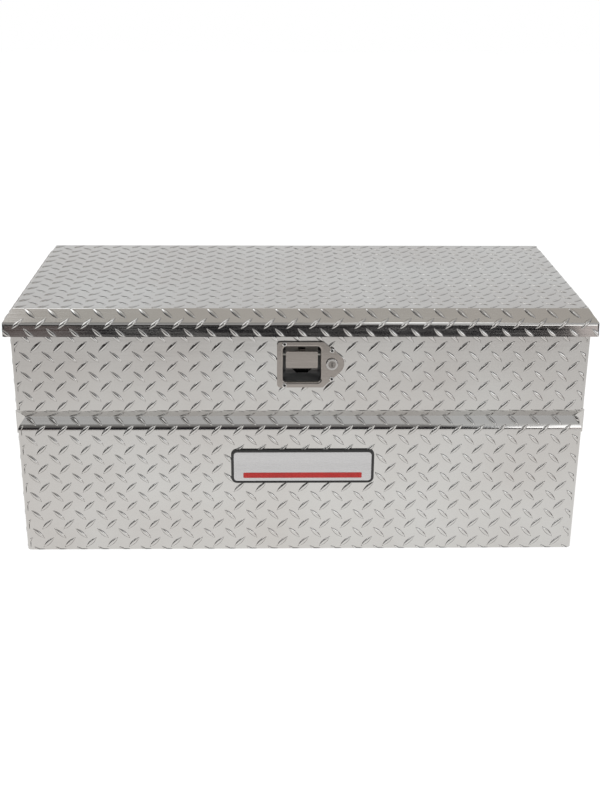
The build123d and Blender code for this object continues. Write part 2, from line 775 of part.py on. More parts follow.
def cam_screw_piece():
    """The screw that holds the cam on the plug."""
    start = front + lock_length + fit
    shank = round_y(cam_screw, lock_offset, start - 2 * cam_sheet, start + cam_sheet, lock_z)
    head = round_y(2 * cam_screw, lock_offset, start + cam_sheet, start + 2 * cam_sheet, lock_z)
    return shank + head


def striker_bracket():
    """A low bridge welded under the lid, drilled for the striker's legs."""
    half = striker_length / 2
    crown = striker_span / 2 + striker_nut
    mid = striker_sheet / 2
    line = Polyline(
        (-half, lid_under - mid),
        (-crown - 2 * mid, lid_under - mid),
        (-crown, crown_z - mid),
        (crown, crown_z - mid),
        (crown + 2 * mid, lid_under - mid),
        (half, lid_under - mid),
    )
    y = striker_y
    bridge = along_y(trace(line, striker_sheet), y - striker_width / 2, y + striker_width / 2)
    for x in (-striker_span / 2, striker_span / 2):
        bridge = bridge - round_z(striker_rod / 2 + fit, x, y, crown_z - 2 * striker_sheet, crown_z + over)
    return bridge


def striker_loop():
    """The U-shaped striker rod that the hook catches."""
    half = striker_span / 2
    top = crown_z + striker_nut_height + striker_end
    line = FilletPolyline(
        (-half, striker_y, top),
        (-half, striker_y, striker_z),
        (half, striker_y, striker_z),
        (half, striker_y, top),
        radius=striker_bend,
    )
    section = Plane(origin=line @ 0, z_dir=line % 0) * Circle(striker_rod / 2)
    return sweep(section, path=line)


def striker_nuts():
    """Nuts above and below the bridge on each leg."""
    nut = RegularPolygon(striker_nut / sqrt(3), 6) - Circle(striker_rod / 2 + fit)
    below = crown_z - striker_sheet - striker_nut_height
    nuts = []
    for x in (-striker_span / 2, striker_span / 2):
        for z in (below, crown_z):
            nuts.append(along_z(Pos(x, striker_y) * nut, z, z + striker_nut_height))
    return nuts


# ---------------------------------------------------------------- gas struts (right-hand side)
foot_point = Vector(strut_x, pin_y - body_stud_forward, pin_z - body_stud_drop)
head_point = Vector(strut_x, pin_y - lid_stud_forward, pin_z - lid_stud_drop)
closed_length = (head_point - foot_point).length
strut_plane = Plane(origin=foot_point, x_dir=(1, 0, 0), z_dir=head_point - foot_point)


def ball_stud(length):
    """A ball on a neck that stands out along +X."""
    return Sphere(ball_radius) + round_x(stud_neck, 0, length, 0, 0)


def ball_socket():
    """End fitting round a ball: bored from +X, with a collar up +Z for the strut."""
    side = outline(
        (0, -socket_radius),
        (0, socket_length),
        (socket_collar, socket_length),
        (socket_collar, socket_radius),
        (socket_radius, 0),
        (socket_radius, socket_bevel - socket_radius),
        (socket_radius - socket_bevel, -socket_radius),
    )
    body = revolve(Plane.XZ * side, Axis.Z)
    return body - round_x(ball_radius + fit, -ball_radius - fit, 2 * socket_radius, 0, 0)


def strut_foot():
    """Lower end fitting of the tube."""
    return strut_plane * ball_socket()


def strut_tube():
    """The pressure tube, closed at the foot and guided round the rod at the top."""
    start = socket_length
    outer = round_z(tube_radius, 0, 0, start, start + tube_length)
    outer = chamfer(outer.edges().group_by(Axis.Z)[-1], tube_bevel)
    bore = round_z(tube_radius - tube_wall, 0, 0, start + tube_end, start + tube_length - tube_end)
    guide = round_z(rod_radius + fit, 0, 0, start + tube_length / 2, start + tube_length + over)
    return strut_plane * (outer - bore - guide)


def strut_rod_piece():
    """The rod with its piston."""
    start = socket_length + tube_end + piston_rest
    rod = round_z(rod_radius, 0, 0, start, closed_length - socket_length)
    piston = round_z(tube_radius - tube_wall - fit, 0, 0, start, start + piston_length)
    return strut_plane * (rod + piston)


def strut_head():
    """Upper end fitting and its ball stud, which meets the lid bracket face to face."""
    turned = Pos(0, 0, closed_length) * Rot(0, 180, 0) * mirrored(ball_socket())
    stud = Pos(0, 0, closed_length) * ball_stud(stud_length - stud_gap)
    return [strut_plane * turned, strut_plane * stud]


def body_bracket():
    """A hat bracket welded inside the end wall, with the lower ball stud."""
    plate_x = strut_x + stud_length
    half = bracket_width / 2
    y = foot_point.Y
    mid = bracket_sheet / 2
    line = Polyline(
        (end - wall - mid, y - half - bracket_foot),
        (end - wall - mid, y - half),
        (plate_x + mid, y - half + 2 * bracket_sheet),
        (plate_x + mid, y + half - 2 * bracket_sheet),
        (end - wall - mid, y + half),
        (end - wall - mid, y + half + bracket_foot),
    )
    hat = along_z(trace(line, bracket_sheet), foot_point.Z - half, foot_point.Z + half)
    return hat + Pos(foot_point) * ball_stud(stud_length)


def lid_bracket():
    """An angle bracket welded under the lid; its plate stands beside the upper stud."""
    plate_x = strut_x + stud_length
    half = bracket_width / 2
    y = head_point.Y
    z = head_point.Z
    cheek = Pos(y, (z + lid_under) / 2) * Rectangle(bracket_width, lid_under - z) + Pos(y, z) * Circle(half)
    plate = along_x(cheek, plate_x, plate_x + bracket_sheet)
    foot = block(plate_x - bracket_foot, plate_x, y - half, y + half, lid_under - bracket_sheet, lid_under)
    return plate + foot


# ---------------------------------------------------------------- write the sub-parts
os.makedirs("parts", exist_ok=True)

upper_sheet, lower_sheet = front_sheets()
cup_hole = cup_outline(cup_sheet + cup_clearance)
upper_sheet = upper_sheet - along_y(cup_hole, front - over, front + wall + over)
save("front_upper_panel", drilled(upper_sheet, cup_clearance))
save("front_lower_panel", lower_sheet)
save("back_panel", back_sheet())
save("right_end_panel", end_sheet())
save("left_end_panel", mirrored(end_sheet()))
save("floor_panel", floor_tray())
save("seam_welds", *seam_welds())
for rail_name, rail in rim_rails().items():
    save(rail_name, rail)
save("hinge_leaf_body", hinge_leaf_piece(False))
save("hinge_pin", round_x(pin_diameter / 2, -hinge_length / 2, hinge_length / 2, pin_y, pin_z))
save("hinge_rivets_body", *hinge_rivets(False))

save("lid_shell", lid_sheet_form())
save("lid_stiffener_front", hat_channel(front + hat_front))
save("lid_stiffener_rear", hat_channel(front + hat_rear))
save("lid_gasket", lid_gasket())
save("hinge_leaf_lid", hinge_leaf_piece(True))
save("hinge_rivets_lid", *hinge_rivets(True))
save("striker_bracket", striker_bracket())
save("striker_loop", striker_loop())
save("striker_nuts", *striker_nuts())
save("strut_lid_brackets", lid_bracket(), mirrored(lid_bracket()))

save("latch_pan", latch_pan())
save("latch_pad", latch_pad())
save("latch_rivets", *latch_rivets())
save("latch_frame", latch_frame())
save("latch_hook", hook_piece())
save("latch_hook_pin", hook_pin_piece())
spring_start = hook_sheet / 2 + hook_spring_place
save("latch_hook_spring", coil_spring(hook_pin, spring_start, hook_spring_turns, hook_pin_y, hook_pin_z))
save("paddle", paddle())
pin_half = cup_width / 2 + cup_sheet + paddle_pin_end
save("paddle_pin", round_x(paddle_pin / 2, -pin_half, pin_half, paddle_pin_y, paddle_pin_z))
spring_start = tail_width / 2 + paddle_spring_place
save("paddle_spring", coil_spring(paddle_pin, spring_start, paddle_spring_turns, paddle_pin_y, paddle_pin_z))
save("lock_barrel", lock_barrel_piece())
save("lock_nut", lock_nut())
save("lock_plug", lock_plug())
save("lock_cam", lock_cam())
save("cam_screw", cam_screw_piece())

save("strut_body_brackets", body_bracket(), mirrored(body_bracket()))
for side_name, turn in (("right", lambda piece: piece), ("left", mirrored)):
    save("strut_foot_" + side_name, turn(strut_foot()))
    save("strut_tube_" + side_name, turn(strut_tube()))
    save("strut_rod_" + side_name, turn(strut_rod_piece()))
    save("strut_head_" + side_name, *[turn(piece) for piece in strut_head()])
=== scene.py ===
# %% [markdown]
# # A diamond-tread truck tool box
# The real box is folded from bright aluminium tread sheet: a body with a groove pressed across its
# front, one overhanging lid on a long hinge, a recessed stainless latch, and two gas struts inside.
# Its sheets, hinge, latch and struts come as a fixed frame of solid parts.  This script dresses
# them: it raises the tread's lugs, turns the latch's rivets, adds a blank plate, and gives every
# surface a finish.

import math

import bpy
import numpy as np
from mathutils import Matrix, Vector


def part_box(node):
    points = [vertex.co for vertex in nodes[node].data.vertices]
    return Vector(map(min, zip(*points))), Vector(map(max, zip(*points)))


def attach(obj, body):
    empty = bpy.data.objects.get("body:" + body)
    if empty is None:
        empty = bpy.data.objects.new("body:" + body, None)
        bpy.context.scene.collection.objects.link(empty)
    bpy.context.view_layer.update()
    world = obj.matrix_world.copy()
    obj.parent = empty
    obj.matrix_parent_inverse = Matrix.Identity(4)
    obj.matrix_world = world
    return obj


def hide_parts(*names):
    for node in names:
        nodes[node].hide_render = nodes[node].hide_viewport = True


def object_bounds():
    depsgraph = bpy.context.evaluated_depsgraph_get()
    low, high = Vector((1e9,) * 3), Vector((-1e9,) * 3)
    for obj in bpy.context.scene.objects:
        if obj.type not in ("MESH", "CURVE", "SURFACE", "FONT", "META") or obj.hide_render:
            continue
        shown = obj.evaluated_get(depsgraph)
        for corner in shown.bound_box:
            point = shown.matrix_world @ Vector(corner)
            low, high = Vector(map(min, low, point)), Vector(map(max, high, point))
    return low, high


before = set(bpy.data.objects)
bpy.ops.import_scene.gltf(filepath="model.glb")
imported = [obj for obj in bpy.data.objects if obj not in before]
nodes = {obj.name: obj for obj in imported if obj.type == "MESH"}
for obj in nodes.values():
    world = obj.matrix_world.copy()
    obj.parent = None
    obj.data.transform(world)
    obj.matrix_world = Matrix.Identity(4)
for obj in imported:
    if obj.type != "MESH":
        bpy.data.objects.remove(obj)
frame_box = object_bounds()
print("parts in the frame:", len(nodes))

# %% [markdown]
# ## Camera
# The box is seen from a little above the lid and from just left of its middle, far enough away
# that its verticals hardly lean.  A camera could be aimed at a target by a constraint, but a place
# and three turns, written as numbers, also keep its slight roll.  The place is measured from the
# front wall, so it follows the frame.

# %% Camera
front_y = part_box("front_upper_panel")[0].y
camera_side = -0.0471      # left of the box's middle
camera_distance = 1.8049   # ahead of the front wall
camera_height = 0.9714
camera_yaw = 0.02465       # towards +X
camera_pitch = 0.37031     # below the horizon
camera_roll = 0.00728
camera_data = bpy.data.cameras.new("camera")
camera_data.sensor_width = 36.0
camera_data.lens = 53.84
camera = bpy.data.objects.new("camera", camera_data)
bpy.context.scene.collection.objects.link(camera)
camera_place = Vector((camera_side, front_y - camera_distance, camera_height))
yaw = Matrix.Rotation(-camera_yaw, 4, "Z")
pitch = Matrix.Rotation(math.pi / 2 - camera_pitch, 4, "X")
roll = Matrix.Rotation(camera_roll, 4, "Z")
camera.matrix_world = Matrix.Translation(camera_place) @ yaw @ pitch @ roll
bpy.context.scene.camera = camera
bpy.context.scene.view_settings.view_transform = "Standard"
print("camera at", [round(v, 3) for v in camera_place])

# %% [markdown]
# ## From arrays to a mesh
# Every new piece here is a set of points computed as one array, and faces that index into it.
# This helper hands both to Blender.  A closed piece must face outward: the signed volume under its
# faces says whether it does, and the faces are turned over when the volume is negative.  The
# smooth flag can differ from face to face, which keeps a crisp edge between a domed top and a flat
# base.

# %% Mesh helper
def signed_volume(points, faces):
    """Sum over the faces' fan triangles of (a . (b x c)) / 6, taken about the points' middle."""
    fans = np.array([(f[0], f[i], f[i + 1]) for f in faces for i in range(1, len(f) - 1)])
    a, b, c = (points - points.mean(0))[fans].transpose(1, 0, 2)
    return (a * np.cross(b, c)).sum() / 6


def mesh_piece(name, points, faces, smooth=True, closed=True):
    """A mesh object at the origin: (n, 3) points in metres, and one smooth flag or one per face."""
    points = np.asarray(points, float).reshape(-1, 3)
    if closed and signed_volume(points, faces) < 0:
        faces = [face[::-1] for face in faces]
    mesh = bpy.data.meshes.new(name)
    mesh.from_pydata(points.tolist(), [], faces)
    mesh.polygons.foreach_set("use_smooth", np.broadcast_to(smooth, len(faces)).tolist())
    mesh.update()
    piece = bpy.data.objects.new(name, mesh)
    bpy.context.scene.collection.objects.link(piece)
    return piece


def grid_faces(rows, columns, wrap=False):
    """Quads between the points of a grid; wrap joins the last row to the first."""
    i, j = np.meshgrid(np.arange(rows if wrap else rows - 1), np.arange(columns - 1), indexing="ij")
    this, following = i * columns + j, (i + 1) % rows * columns + j
    return np.stack([this, this + 1, following + 1, following], -1).reshape(-1, 4).tolist()


print("a grid of 3 x 3 points has", len(grid_faces(3, 3)), "faces")

# %% [markdown]
# ## Shader nodes
# A material in Blender is a net of nodes.  Every node is added in the same way here: its inputs
# are given as a dictionary, in which a plain value is written into the socket and an output of
# another node is wired to it.  Sockets that share one name are told apart by their number.

# %% Node helpers
def add_node(tree, kind, inputs):
    """A new shader node, each of whose inputs takes a value or follows another node's output."""
    node = tree.nodes.new("ShaderNode" + kind)
    for socket, value in inputs.items():
        if isinstance(value, bpy.types.NodeSocket):
            tree.links.new(value, node.inputs[socket])
        else:
            node.inputs[socket].default_value = value
    return node


def calculated(tree, operation, first, second):
    """The output of a Math node on two numbers."""
    node = add_node(tree, "Math", {0: first, 1: second})
    node.operation = operation
    return node.outputs["Value"]


def mixed(tree, amount, first, second):
    """A shader that goes from the first to the second as the amount goes from 0 to 1."""
    return add_node(tree, "MixShader", {"Fac": amount, 1: first.outputs[0], 2: second.outputs[0]})


print("node helpers ready")

# %% [markdown]
# ## Finishes
# A finish is a Principled shader with a few noise patterns.  An image could hold such wear too, but
# noise has no seams and no limit of detail.  Each pattern reads Object coordinates, stretched along
# the direction in which the metal was rolled or brushed, and drives colour, roughness or bump.
# Values that are the same all over are set on the shader itself.

# %% Finish helper
noise_low, noise_high = 0.3, 0.7      # nearly all of a noise pattern lies between these


class Finish:
    """A Principled material and short ways to add patterns to it."""

    def __init__(self, name, colour, metallic, roughness):
        self.material = bpy.data.materials.new(name)
        self.material.use_nodes = True
        self.tree = self.material.node_tree
        self.shader = self.tree.nodes["Principled BSDF"]
        self.shader.inputs["Base Color"].default_value = (*colour, 1)
        self.shader.inputs["Metallic"].default_value = metallic
        self.shader.inputs["Roughness"].default_value = roughness
        self.place = add_node(self.tree, "TexCoord", {}).outputs["Object"]
        self.bump = None

    def follow(self, socket, source):
        """Wires an output to one of the shader's inputs."""
        self.tree.links.new(source, self.shader.inputs[socket])

    def colour(self):
        """The output that the base colour follows."""
        return self.shader.inputs["Base Color"].links[0].from_socket

    def end_with(self, node):
        """Shows another shader on the surface instead of the Principled one."""
        surface = self.tree.nodes["Material Output"].inputs["Surface"]
        self.tree.links.new(node.outputs[0], surface)

    def noise(self, scale, detail=2.0, stretch=(1, 1, 1)):
        """Noise between 0 and 1, in grains per metre; stretch multiplies the scale on each axis."""
        mapping = add_node(self.tree, "Mapping", {"Vector": self.place, "Scale": stretch})
        values = {"Vector": mapping.outputs["Vector"], "Scale": scale, "Detail": detail}
        return add_node(self.tree, "TexNoise", values).outputs["Fac"]

    def vary(self, socket, pattern, low, high, start=noise_low, stop=noise_high):
        """A number socket that runs from low to high as the pattern runs from start to stop."""
        ends = {"From Min": start, "From Max": stop, "To Min": low, "To Max": high}
        spread = add_node(self.tree, "MapRange", {"Value": pattern, **ends})
        self.follow(socket, spread.outputs["Result"])

    def tint(self, pattern, first, second):
        """Base colour that blends from first to second with the pattern."""
        ramp = add_node(self.tree, "ValToRGB", {"Fac": pattern})
        stops = zip(ramp.color_ramp.elements, (noise_low, noise_high), (first, second))
        for element, position, colour in stops:
            element.position = position
            element.color = (*colour, 1)
        self.follow("Base Color", ramp.outputs["Color"])

    def passed(self, spans):
        """Product of ramps: each span (axis, start, stop) runs from 0 at start to 1 at stop."""
        place = add_node(self.tree, "SeparateXYZ", {"Vector": self.place})
        product = 1.0
        for axis, start, stop in spans:
            ends = {"From Min": start, "From Max": stop}
            ramp = add_node(self.tree, "MapRange", {"Value": place.outputs[axis], **ends})
            product = calculated(self.tree, "MULTIPLY", product, ramp.outputs["Result"])
        return product

    def fade(self, colour, *spans):
        """Blends the base colour into another where every span is passed."""
        colours = {"Color1": self.colour(), "Color2": (*colour, 1)}
        blend = add_node(self.tree, "MixRGB", {"Fac": self.passed(spans), **colours})
        self.follow("Base Color", blend.outputs["Color"])

    def film(self, *spans):
        """The bare metal turns matt and non-metallic where every span is passed."""
        self.vary("Metallic", self.passed(spans), low=1.0, high=0.0, start=0.0, stop=1.0)

    def dent(self, pattern, depth):
        """Adds the pattern to the surface's bump; depth in metres."""
        values = {"Height": pattern, "Strength": 1.0, "Distance": depth}
        if self.bump:
            values["Normal"] = self.bump
        self.bump = add_node(self.tree, "Bump", values).outputs["Normal"]
        self.follow("Normal", self.bump)


print("finish helper ready")

# %% [markdown]
# ## Studio background
# Metal shows what stands round it, so the studio decides how the sheet looks.  The background is
# white to the camera and in reflections, while the light that the world sheds on the box is
# weaker.  One strength could serve for both, but it would make either a grey background or a box
# without shade, so Light Path tells the rays apart.

# %% Studio background
white = (1.0, 1.0, 1.0, 1.0)
world_light = 0.55         # on the box
backdrop_light = 1.0       # to the eye: white
seen_rays = ("Is Camera Ray", "Is Glossy Ray", "Is Transmission Ray")


def strongest(tree, *kinds):
    """1 for rays of any of these kinds, else 0."""
    path = add_node(tree, "LightPath", {})
    total = path.outputs[kinds[0]]
    for kind in kinds[1:]:
        total = calculated(tree, "MAXIMUM", total, path.outputs[kind])
    return total


world = bpy.data.worlds.new("studio")
world.use_nodes = True
bpy.context.scene.world = world
tree = world.node_tree
soft_light = tree.nodes["Background"]
soft_light.inputs["Color"].default_value = white
soft_light.inputs["Strength"].default_value = world_light
backdrop = add_node(tree, "Background", {"Color": white, "Strength": backdrop_light})
surroundings = mixed(tree, strongest(tree, *seen_rays), soft_light, backdrop)
tree.links.new(surroundings.outputs["Shader"], tree.nodes["World Output"].inputs["Surface"])
print("world light", world_light)

# %% [markdown]
# ## Lit floor
# The floor is white to the camera and takes the box's shadow.  The front sheets mirror it, and
# there the lit floor falls off slowly away from the box, as under one large lamp.  A spherical
# gradient, stretched over the box's outline, gives that pool its brightness and warmth.  Glow alone
# would hide the shadow, so part of the shader stays plain floor.

# %% Lit floor
floor_reach = 9.0          # from the middle to each side
floor_drop = 0.0005        # below the box's foot
camera_glow = 1.2          # to the camera
pool_near = 1.22           # to the metal, beside the box
pool_far = 0.70            # and at the edge of the lit floor
pool_core = 0.9            # where the gradient has reached the brightest floor
near_tint = (1.0, 0.99, 0.97, 1)
far_tint = (1.0, 0.965, 0.935, 1)
glow_share = 0.72          # the rest is plain floor, which takes the shadow
lit_reach = 1.32           # from the box to the edge of the lit floor
box_half = (frame_box[1] - frame_box[0]) / 2

corners = floor_reach * np.array([(-1, -1, 0), (1, -1, 0), (1, 1, 0), (-1, 1, 0)])
floor = mesh_piece("studio_floor", corners - (0, 0, floor_drop), [[0, 1, 2, 3]], closed=False)
floor_finish = Finish("studio_floor", (0.85, 0.85, 0.85), 0.0, 0.9)
tree = floor_finish.tree
outline = (1 / (box_half.x + lit_reach), 1 / (box_half.y + lit_reach), 1)
mapping = add_node(tree, "Mapping", {"Vector": floor_finish.place, "Scale": outline})
gradient = add_node(tree, "TexGradient", {"Vector": mapping.outputs["Vector"]})
gradient.gradient_type = "SPHERICAL"
pool = gradient.outputs["Fac"]
ends = {"From Max": pool_core, "To Min": pool_far, "To Max": pool_near}
level = add_node(tree, "MapRange", {"Value": pool, **ends}).outputs["Result"]
tint = add_node(tree, "MixRGB", {"Fac": pool, "Color1": far_tint, "Color2": near_tint})
mirrored = add_node(tree, "Emission", {"Color": tint.outputs["Color"], "Strength": level})
seen = add_node(tree, "Emission", {"Strength": camera_glow})
glow = mixed(tree, strongest(tree, "Is Camera Ray"), mirrored, seen)
share = calculated(tree, "MULTIPLY", strongest(tree, *seen_rays), glow_share)
floor_finish.end_with(mixed(tree, share, floor_finish.shader, glow))
floor.data.materials.append(floor_finish.material)
print("lit floor reaches", lit_reach, "m past the box")

# %% [markdown]
# ## Cards that only the metal sees
# Polished sheet needs something to mirror.  More lamps would wash the box out, so its surroundings
# are cards that glow a little and are seen by reflections only.  One kind is a band round the box's
# outline, and the other a piece of a large sphere, given by its azimuths and elevations.  Each is
# mottled between two colours, because a real room is never even.

# %% Card helpers
def ring_card(azimuths, distances, heights, steps=48):
    """A band round the box: each line is the box's outline offset by a distance, at a height."""
    angle = np.radians(np.linspace(*azimuths, steps))[:, None]
    x = np.sign(np.cos(angle)) * box_half.x + np.array(distances) * np.cos(angle)
    y = np.sign(np.sin(angle)) * box_half.y + np.array(distances) * np.sin(angle)
    return np.stack([x, y, np.broadcast_to(heights, x.shape)], -1)


def dome_card(azimuths, elevations, distance, steps=24):
    """A piece of a sphere: the distance times (cos e cos a, cos e sin a, sin e), in degrees."""
    a = np.radians(np.linspace(*azimuths, steps))[:, None]
    e = np.radians(np.linspace(*elevations, steps))[None, :]
    unit = [np.cos(e) * np.cos(a), np.cos(e) * np.sin(a), np.sin(e) * np.ones_like(a)]
    return distance * np.stack(unit, -1)


def reflected_card(name, points, dark, pale, strength=1.0, grain=0.9):
    """A card that only reflections see, mottled between two colours, in grains per metre."""
    card = mesh_piece(name, points, grid_faces(*points.shape[:2]), closed=False)
    finish = Finish(name, dark, 0.0, 1.0)
    finish.tint(finish.noise(grain, detail=1.0), dark, pale)
    values = {"Color": finish.colour(), "Strength": strength}
    finish.end_with(add_node(finish.tree, "Emission", values))
    card.data.materials.append(finish.material)
    card.visible_camera = False
    card.visible_diffuse = False
    card.visible_shadow = False
    card.visible_transmission = False


print("card helpers ready")

# %% [markdown]
# ## Rings round the lit floor
# Past the edge of the lit floor the room is dark.  The skirt of the lid leans by two degrees, which
# is enough to mirror that surround instead of the floor, so it is the darkest sheet.  A browner
# strip lies ahead of the box, and at the front right the ring is pale, where the skirt brightens.

# %% Rings round the floor
black_brown = (0.004, 0.004, 0.006), (0.036, 0.034, 0.037)
brown = (0.10, 0.08, 0.077), (0.20, 0.16, 0.155)
pale_gap = (0.32, 0.28, 0.27), (1.0, 0.92, 0.89)
upright = (lit_reach, 3.4, 3.4), (0.001, 0.001, 0.62)      # distances and heights of its lines
lying = (lit_reach, 2.4), (0.002, 0.002)
even_grain, lively_grain = 0.9, 3.5                        # grains per metre

# Name: azimuths, lines, colours, grain.
rings = {
    "left": ((140, 283), upright, black_brown, even_grain),
    "right": ((335, 400), upright, black_brown, even_grain),
    "brown": ((251, 265), lying, brown, even_grain),
    "gap": ((282, 335), upright, pale_gap, lively_grain),
}
for name, (azimuths, lines, colours, grain) in rings.items():
    reflected_card("studio_surround_" + name, ring_card(azimuths, *lines), *colours, grain=grain)
print("rings:", len(rings))

# %% [markdown]
# ## Walls, ceiling and flags
# Grey walls and a browner ceiling stand behind the rings.  The flat top of the lid mirrors the wall
# at the back, and its sloping border the high wall and the ceiling.  A lug is domed, so its flanks
# mirror everything between: skirting, dado and wall bands grade them from dark to pale, and two
# dark flags at the left give one leaning its dark flanks.

# %% Walls, ceiling and flags
# Name: azimuths, elevations, distance, and the two colours.
room = {
    "walls": ((165, 375), (9, 52), 4.4, (0.47, 0.475, 0.49), (0.56, 0.565, 0.575)),
    "ceiling": ((0, 360), (52, 90), 4.4, (0.53, 0.505, 0.465), (0.63, 0.60, 0.56)),
    "back": ((15, 165), (0, 52), 4.6, (0.72, 0.72, 0.72), (0.80, 0.80, 0.80)),
    "skirting_left": ((234, 254), (-3, 10), 4.0, (0.09, 0.088, 0.085), (0.15, 0.145, 0.14)),
    "skirting_middle": ((254, 284), (-3, 12.5), 4.0, (0.016, 0.013, 0.012), (0.05, 0.042, 0.04)),
    "dado": ((234, 282), (10, 21), 4.1, (0.16, 0.155, 0.15), (0.24, 0.235, 0.23)),
    "wall_low": ((234, 281), (21, 31), 4.1, (0.30, 0.295, 0.29), (0.37, 0.365, 0.36)),
    "wall_band": ((234, 300), (31, 40), 4.1, (0.60, 0.60, 0.60), (0.70, 0.70, 0.70)),
    "wall_high": ((234, 274), (40, 64), 4.1, (0.29, 0.285, 0.28), (0.37, 0.365, 0.36)),
    "wall_right": ((281, 302), (17, 31), 4.1, (0.66, 0.66, 0.65), (0.76, 0.76, 0.75)),
    "front_flag": ((204, 249), (-2, 31), 3.3, (0.010, 0.010, 0.010), (0.05, 0.048, 0.046)),
    "back_high": ((15, 90), (52, 64), 4.3, (0.72, 0.72, 0.72), (0.80, 0.80, 0.80)),
    "back_flag": ((104, 150), (31, 56), 3.6, (0.06, 0.06, 0.06), (0.15, 0.15, 0.145)),
}
for name, (azimuths, elevations, distance, dark, pale) in room.items():
    reflected_card("studio_" + name, dome_card(azimuths, elevations, distance), dark, pale)
print("walls and flags:", len(room))

# %% [markdown]
# ## Mirrored soft boxes
# Bright cards in front of the walls draw the white lines along the bends and on the lugs' flanks.
# They light nothing, so each can be placed for the one line that it draws.

# %% Mirrored soft boxes
card_distance = 3.2
card_colours = (0.85, 0.86, 0.87), (1.0, 1.0, 1.0)

# Name: azimuths, elevations, brightness.
soft_boxes = {
    "right": ((286, 303), (3, 12), 2.2),
    "right_middle": ((290, 303), (12, 22), 1.8),
    "right_high": ((275, 297), (44, 56), 1.1),
    "right_facet": ((281, 298), (56, 65), 2.3),
    "far_right": ((309, 332), (11, 21), 2.2),
    "left": ((165, 200), (18, 33), 1.8),
    "left_high": ((168, 221), (33, 80), 2.1),
    "back_left": ((126, 158), (59, 76), 1.6),
    "top": ((0, 360), (84, 90), 1.3),
}
for name, (azimuths, elevations, strength) in soft_boxes.items():
    card = dome_card(azimuths, elevations, card_distance)
    reflected_card("studio_softbox_" + name, card, *card_colours, strength)
print("mirrored soft boxes:", len(soft_boxes))

# %% [markdown]
# ## Lamps
# Two area lamps light what isn't metal and cast the soft shadow on the floor.  The metal doesn't
# show them, since the cards already decide what it mirrors.

# %% Lamps
def area_lamp(name, place, aim, size, power):
    """A square area light that metal doesn't show."""
    light = bpy.data.lights.new(name, "AREA")
    light.shape = "SQUARE"
    light.size = size
    light.energy = power
    lamp = bpy.data.objects.new(name, light)
    lamp.location = place
    lamp.rotation_euler = (Vector(aim) - Vector(place)).to_track_quat("-Z", "Y").to_euler()
    lamp.visible_glossy = False
    bpy.context.scene.collection.objects.link(lamp)


area_lamp("overhead_light", place=(0, -0.4, 3.2), aim=(0, 0, 0), size=3.0, power=48)
area_lamp("right_light", place=(2.3, -2.4, 1.6), aim=(0, 0, 0.3), size=1.1, power=18)
print("lamps:", len(bpy.data.lights))

# %% [markdown]
# ## Aluminium tread sheet
# Bright tread sheet is rolled, so its gloss has faint streaks along the sheet and a slow waviness
# that bends reflections.  The lugs are the same metal.  One finish serves the sheets that run along
# X, another the end walls, whose streaks run along Y.

# %% Tread sheet finish
streak_stretch = 0.02      # streaks are fifty times longer than wide
streak_depth = 0.000006
wave_depth = 0.0009


def tread_finish(name, along):
    """Bright rolled aluminium with streaks along axis 0 (X) or 1 (Y)."""
    finish = Finish(name, (0.58, 0.58, 0.57), 1.0, 0.1)
    streaks = [1.0, 1.0, 1.0]
    streaks[along] = streak_stretch
    finish.tint(finish.noise(6.0, detail=3.0), (0.555, 0.54, 0.525), (0.60, 0.60, 0.59))
    gloss = finish.noise(420.0, detail=3.0, stretch=streaks)
    finish.vary("Roughness", gloss, low=0.085, high=0.15)
    finish.dent(finish.noise(11.0, detail=1.0), wave_depth)
    finish.dent(finish.noise(900.0, stretch=streaks), streak_depth)
    return finish.material


def dress(material, *names):
    """Gives a finish to parts of the frame."""
    for name in names:
        nodes[name].data.materials.clear()
        nodes[name].data.materials.append(material)


tread_sheet = tread_finish("tread_aluminium", 0)
tread_ends = tread_finish("tread_aluminium_ends", 1)
dress(tread_sheet, "lid_shell", "front_upper_panel", "front_lower_panel", "back_panel")
dress(tread_ends, "left_end_panel", "right_end_panel")
print("tread sheet dressed")

# %% [markdown]
# ## One lug
# A lug is a lens: pointed at both ends and domed across.  A bump pattern could draw it, but its
# flanks would then have no height along the folds and against the light, so it is a mesh.  Half its
# width falls off from the middle as 1 - u², and its height as (1 - |v|^1.6)(1 - u²)^0.6, where u
# runs along it and v across it, both from -1 to 1.  A flat base a hair below the sheet closes it.
# Forty faces are enough, because there are over two thousand lugs.

# %% Lug
lug_length = 0.0275
lug_width = 0.0074
lug_height = 0.0016
lug_sink = 0.00012         # the base, below the sheet's face
lug_crown = 1.6            # a larger power makes the dome flatter across
lug_taper = 0.6            # a smaller power keeps the height nearer to the tips
lug_along, lug_across = 8, 4          # steps of the grid


def lug_points():
    """Local (a, b, h) of one lug: the two tips, then rings of points across it."""
    u = np.linspace(-1, 1, lug_along + 1)[1:-1, None]
    v = np.linspace(-1, 1, lug_across + 1)[None, :]
    a = u * lug_length / 2 * np.ones_like(v)
    b = v * (1 - u**2) * lug_width / 2
    h = lug_height * (1 - np.abs(v) ** lug_crown) * (1 - u**2) ** lug_taper - lug_sink
    rings = np.stack([a, b, h], -1).reshape(-1, 3)
    tips = np.array([(-lug_length / 2, 0, -lug_sink), (lug_length / 2, 0, -lug_sink)])
    return np.vstack([tips, rings])


def lug_faces():
    """Faces of one lug, and which of them are domed rather than base."""
    ring = lug_across + 1
    first, last = 2, 2 + (lug_along - 2) * ring            # where the first and last rings start
    top, base = [], []
    for i in range(lug_across):
        top += [[0, first + i + 1, first + i], [1, last + i, last + i + 1]]
    for low in range(first, last, ring):
        high = low + ring
        top += [[low + i, low + i + 1, high + i + 1, high + i] for i in range(lug_across)]
        base.append([low, high, high + lug_across, low + lug_across])
    base += [[0, first, first + lug_across], [1, last + lug_across, last]]
    return top + base, [True] * len(top) + [False] * len(base)


print("lug:", len(lug_points()), "points,", len(lug_faces()[0]), "faces")

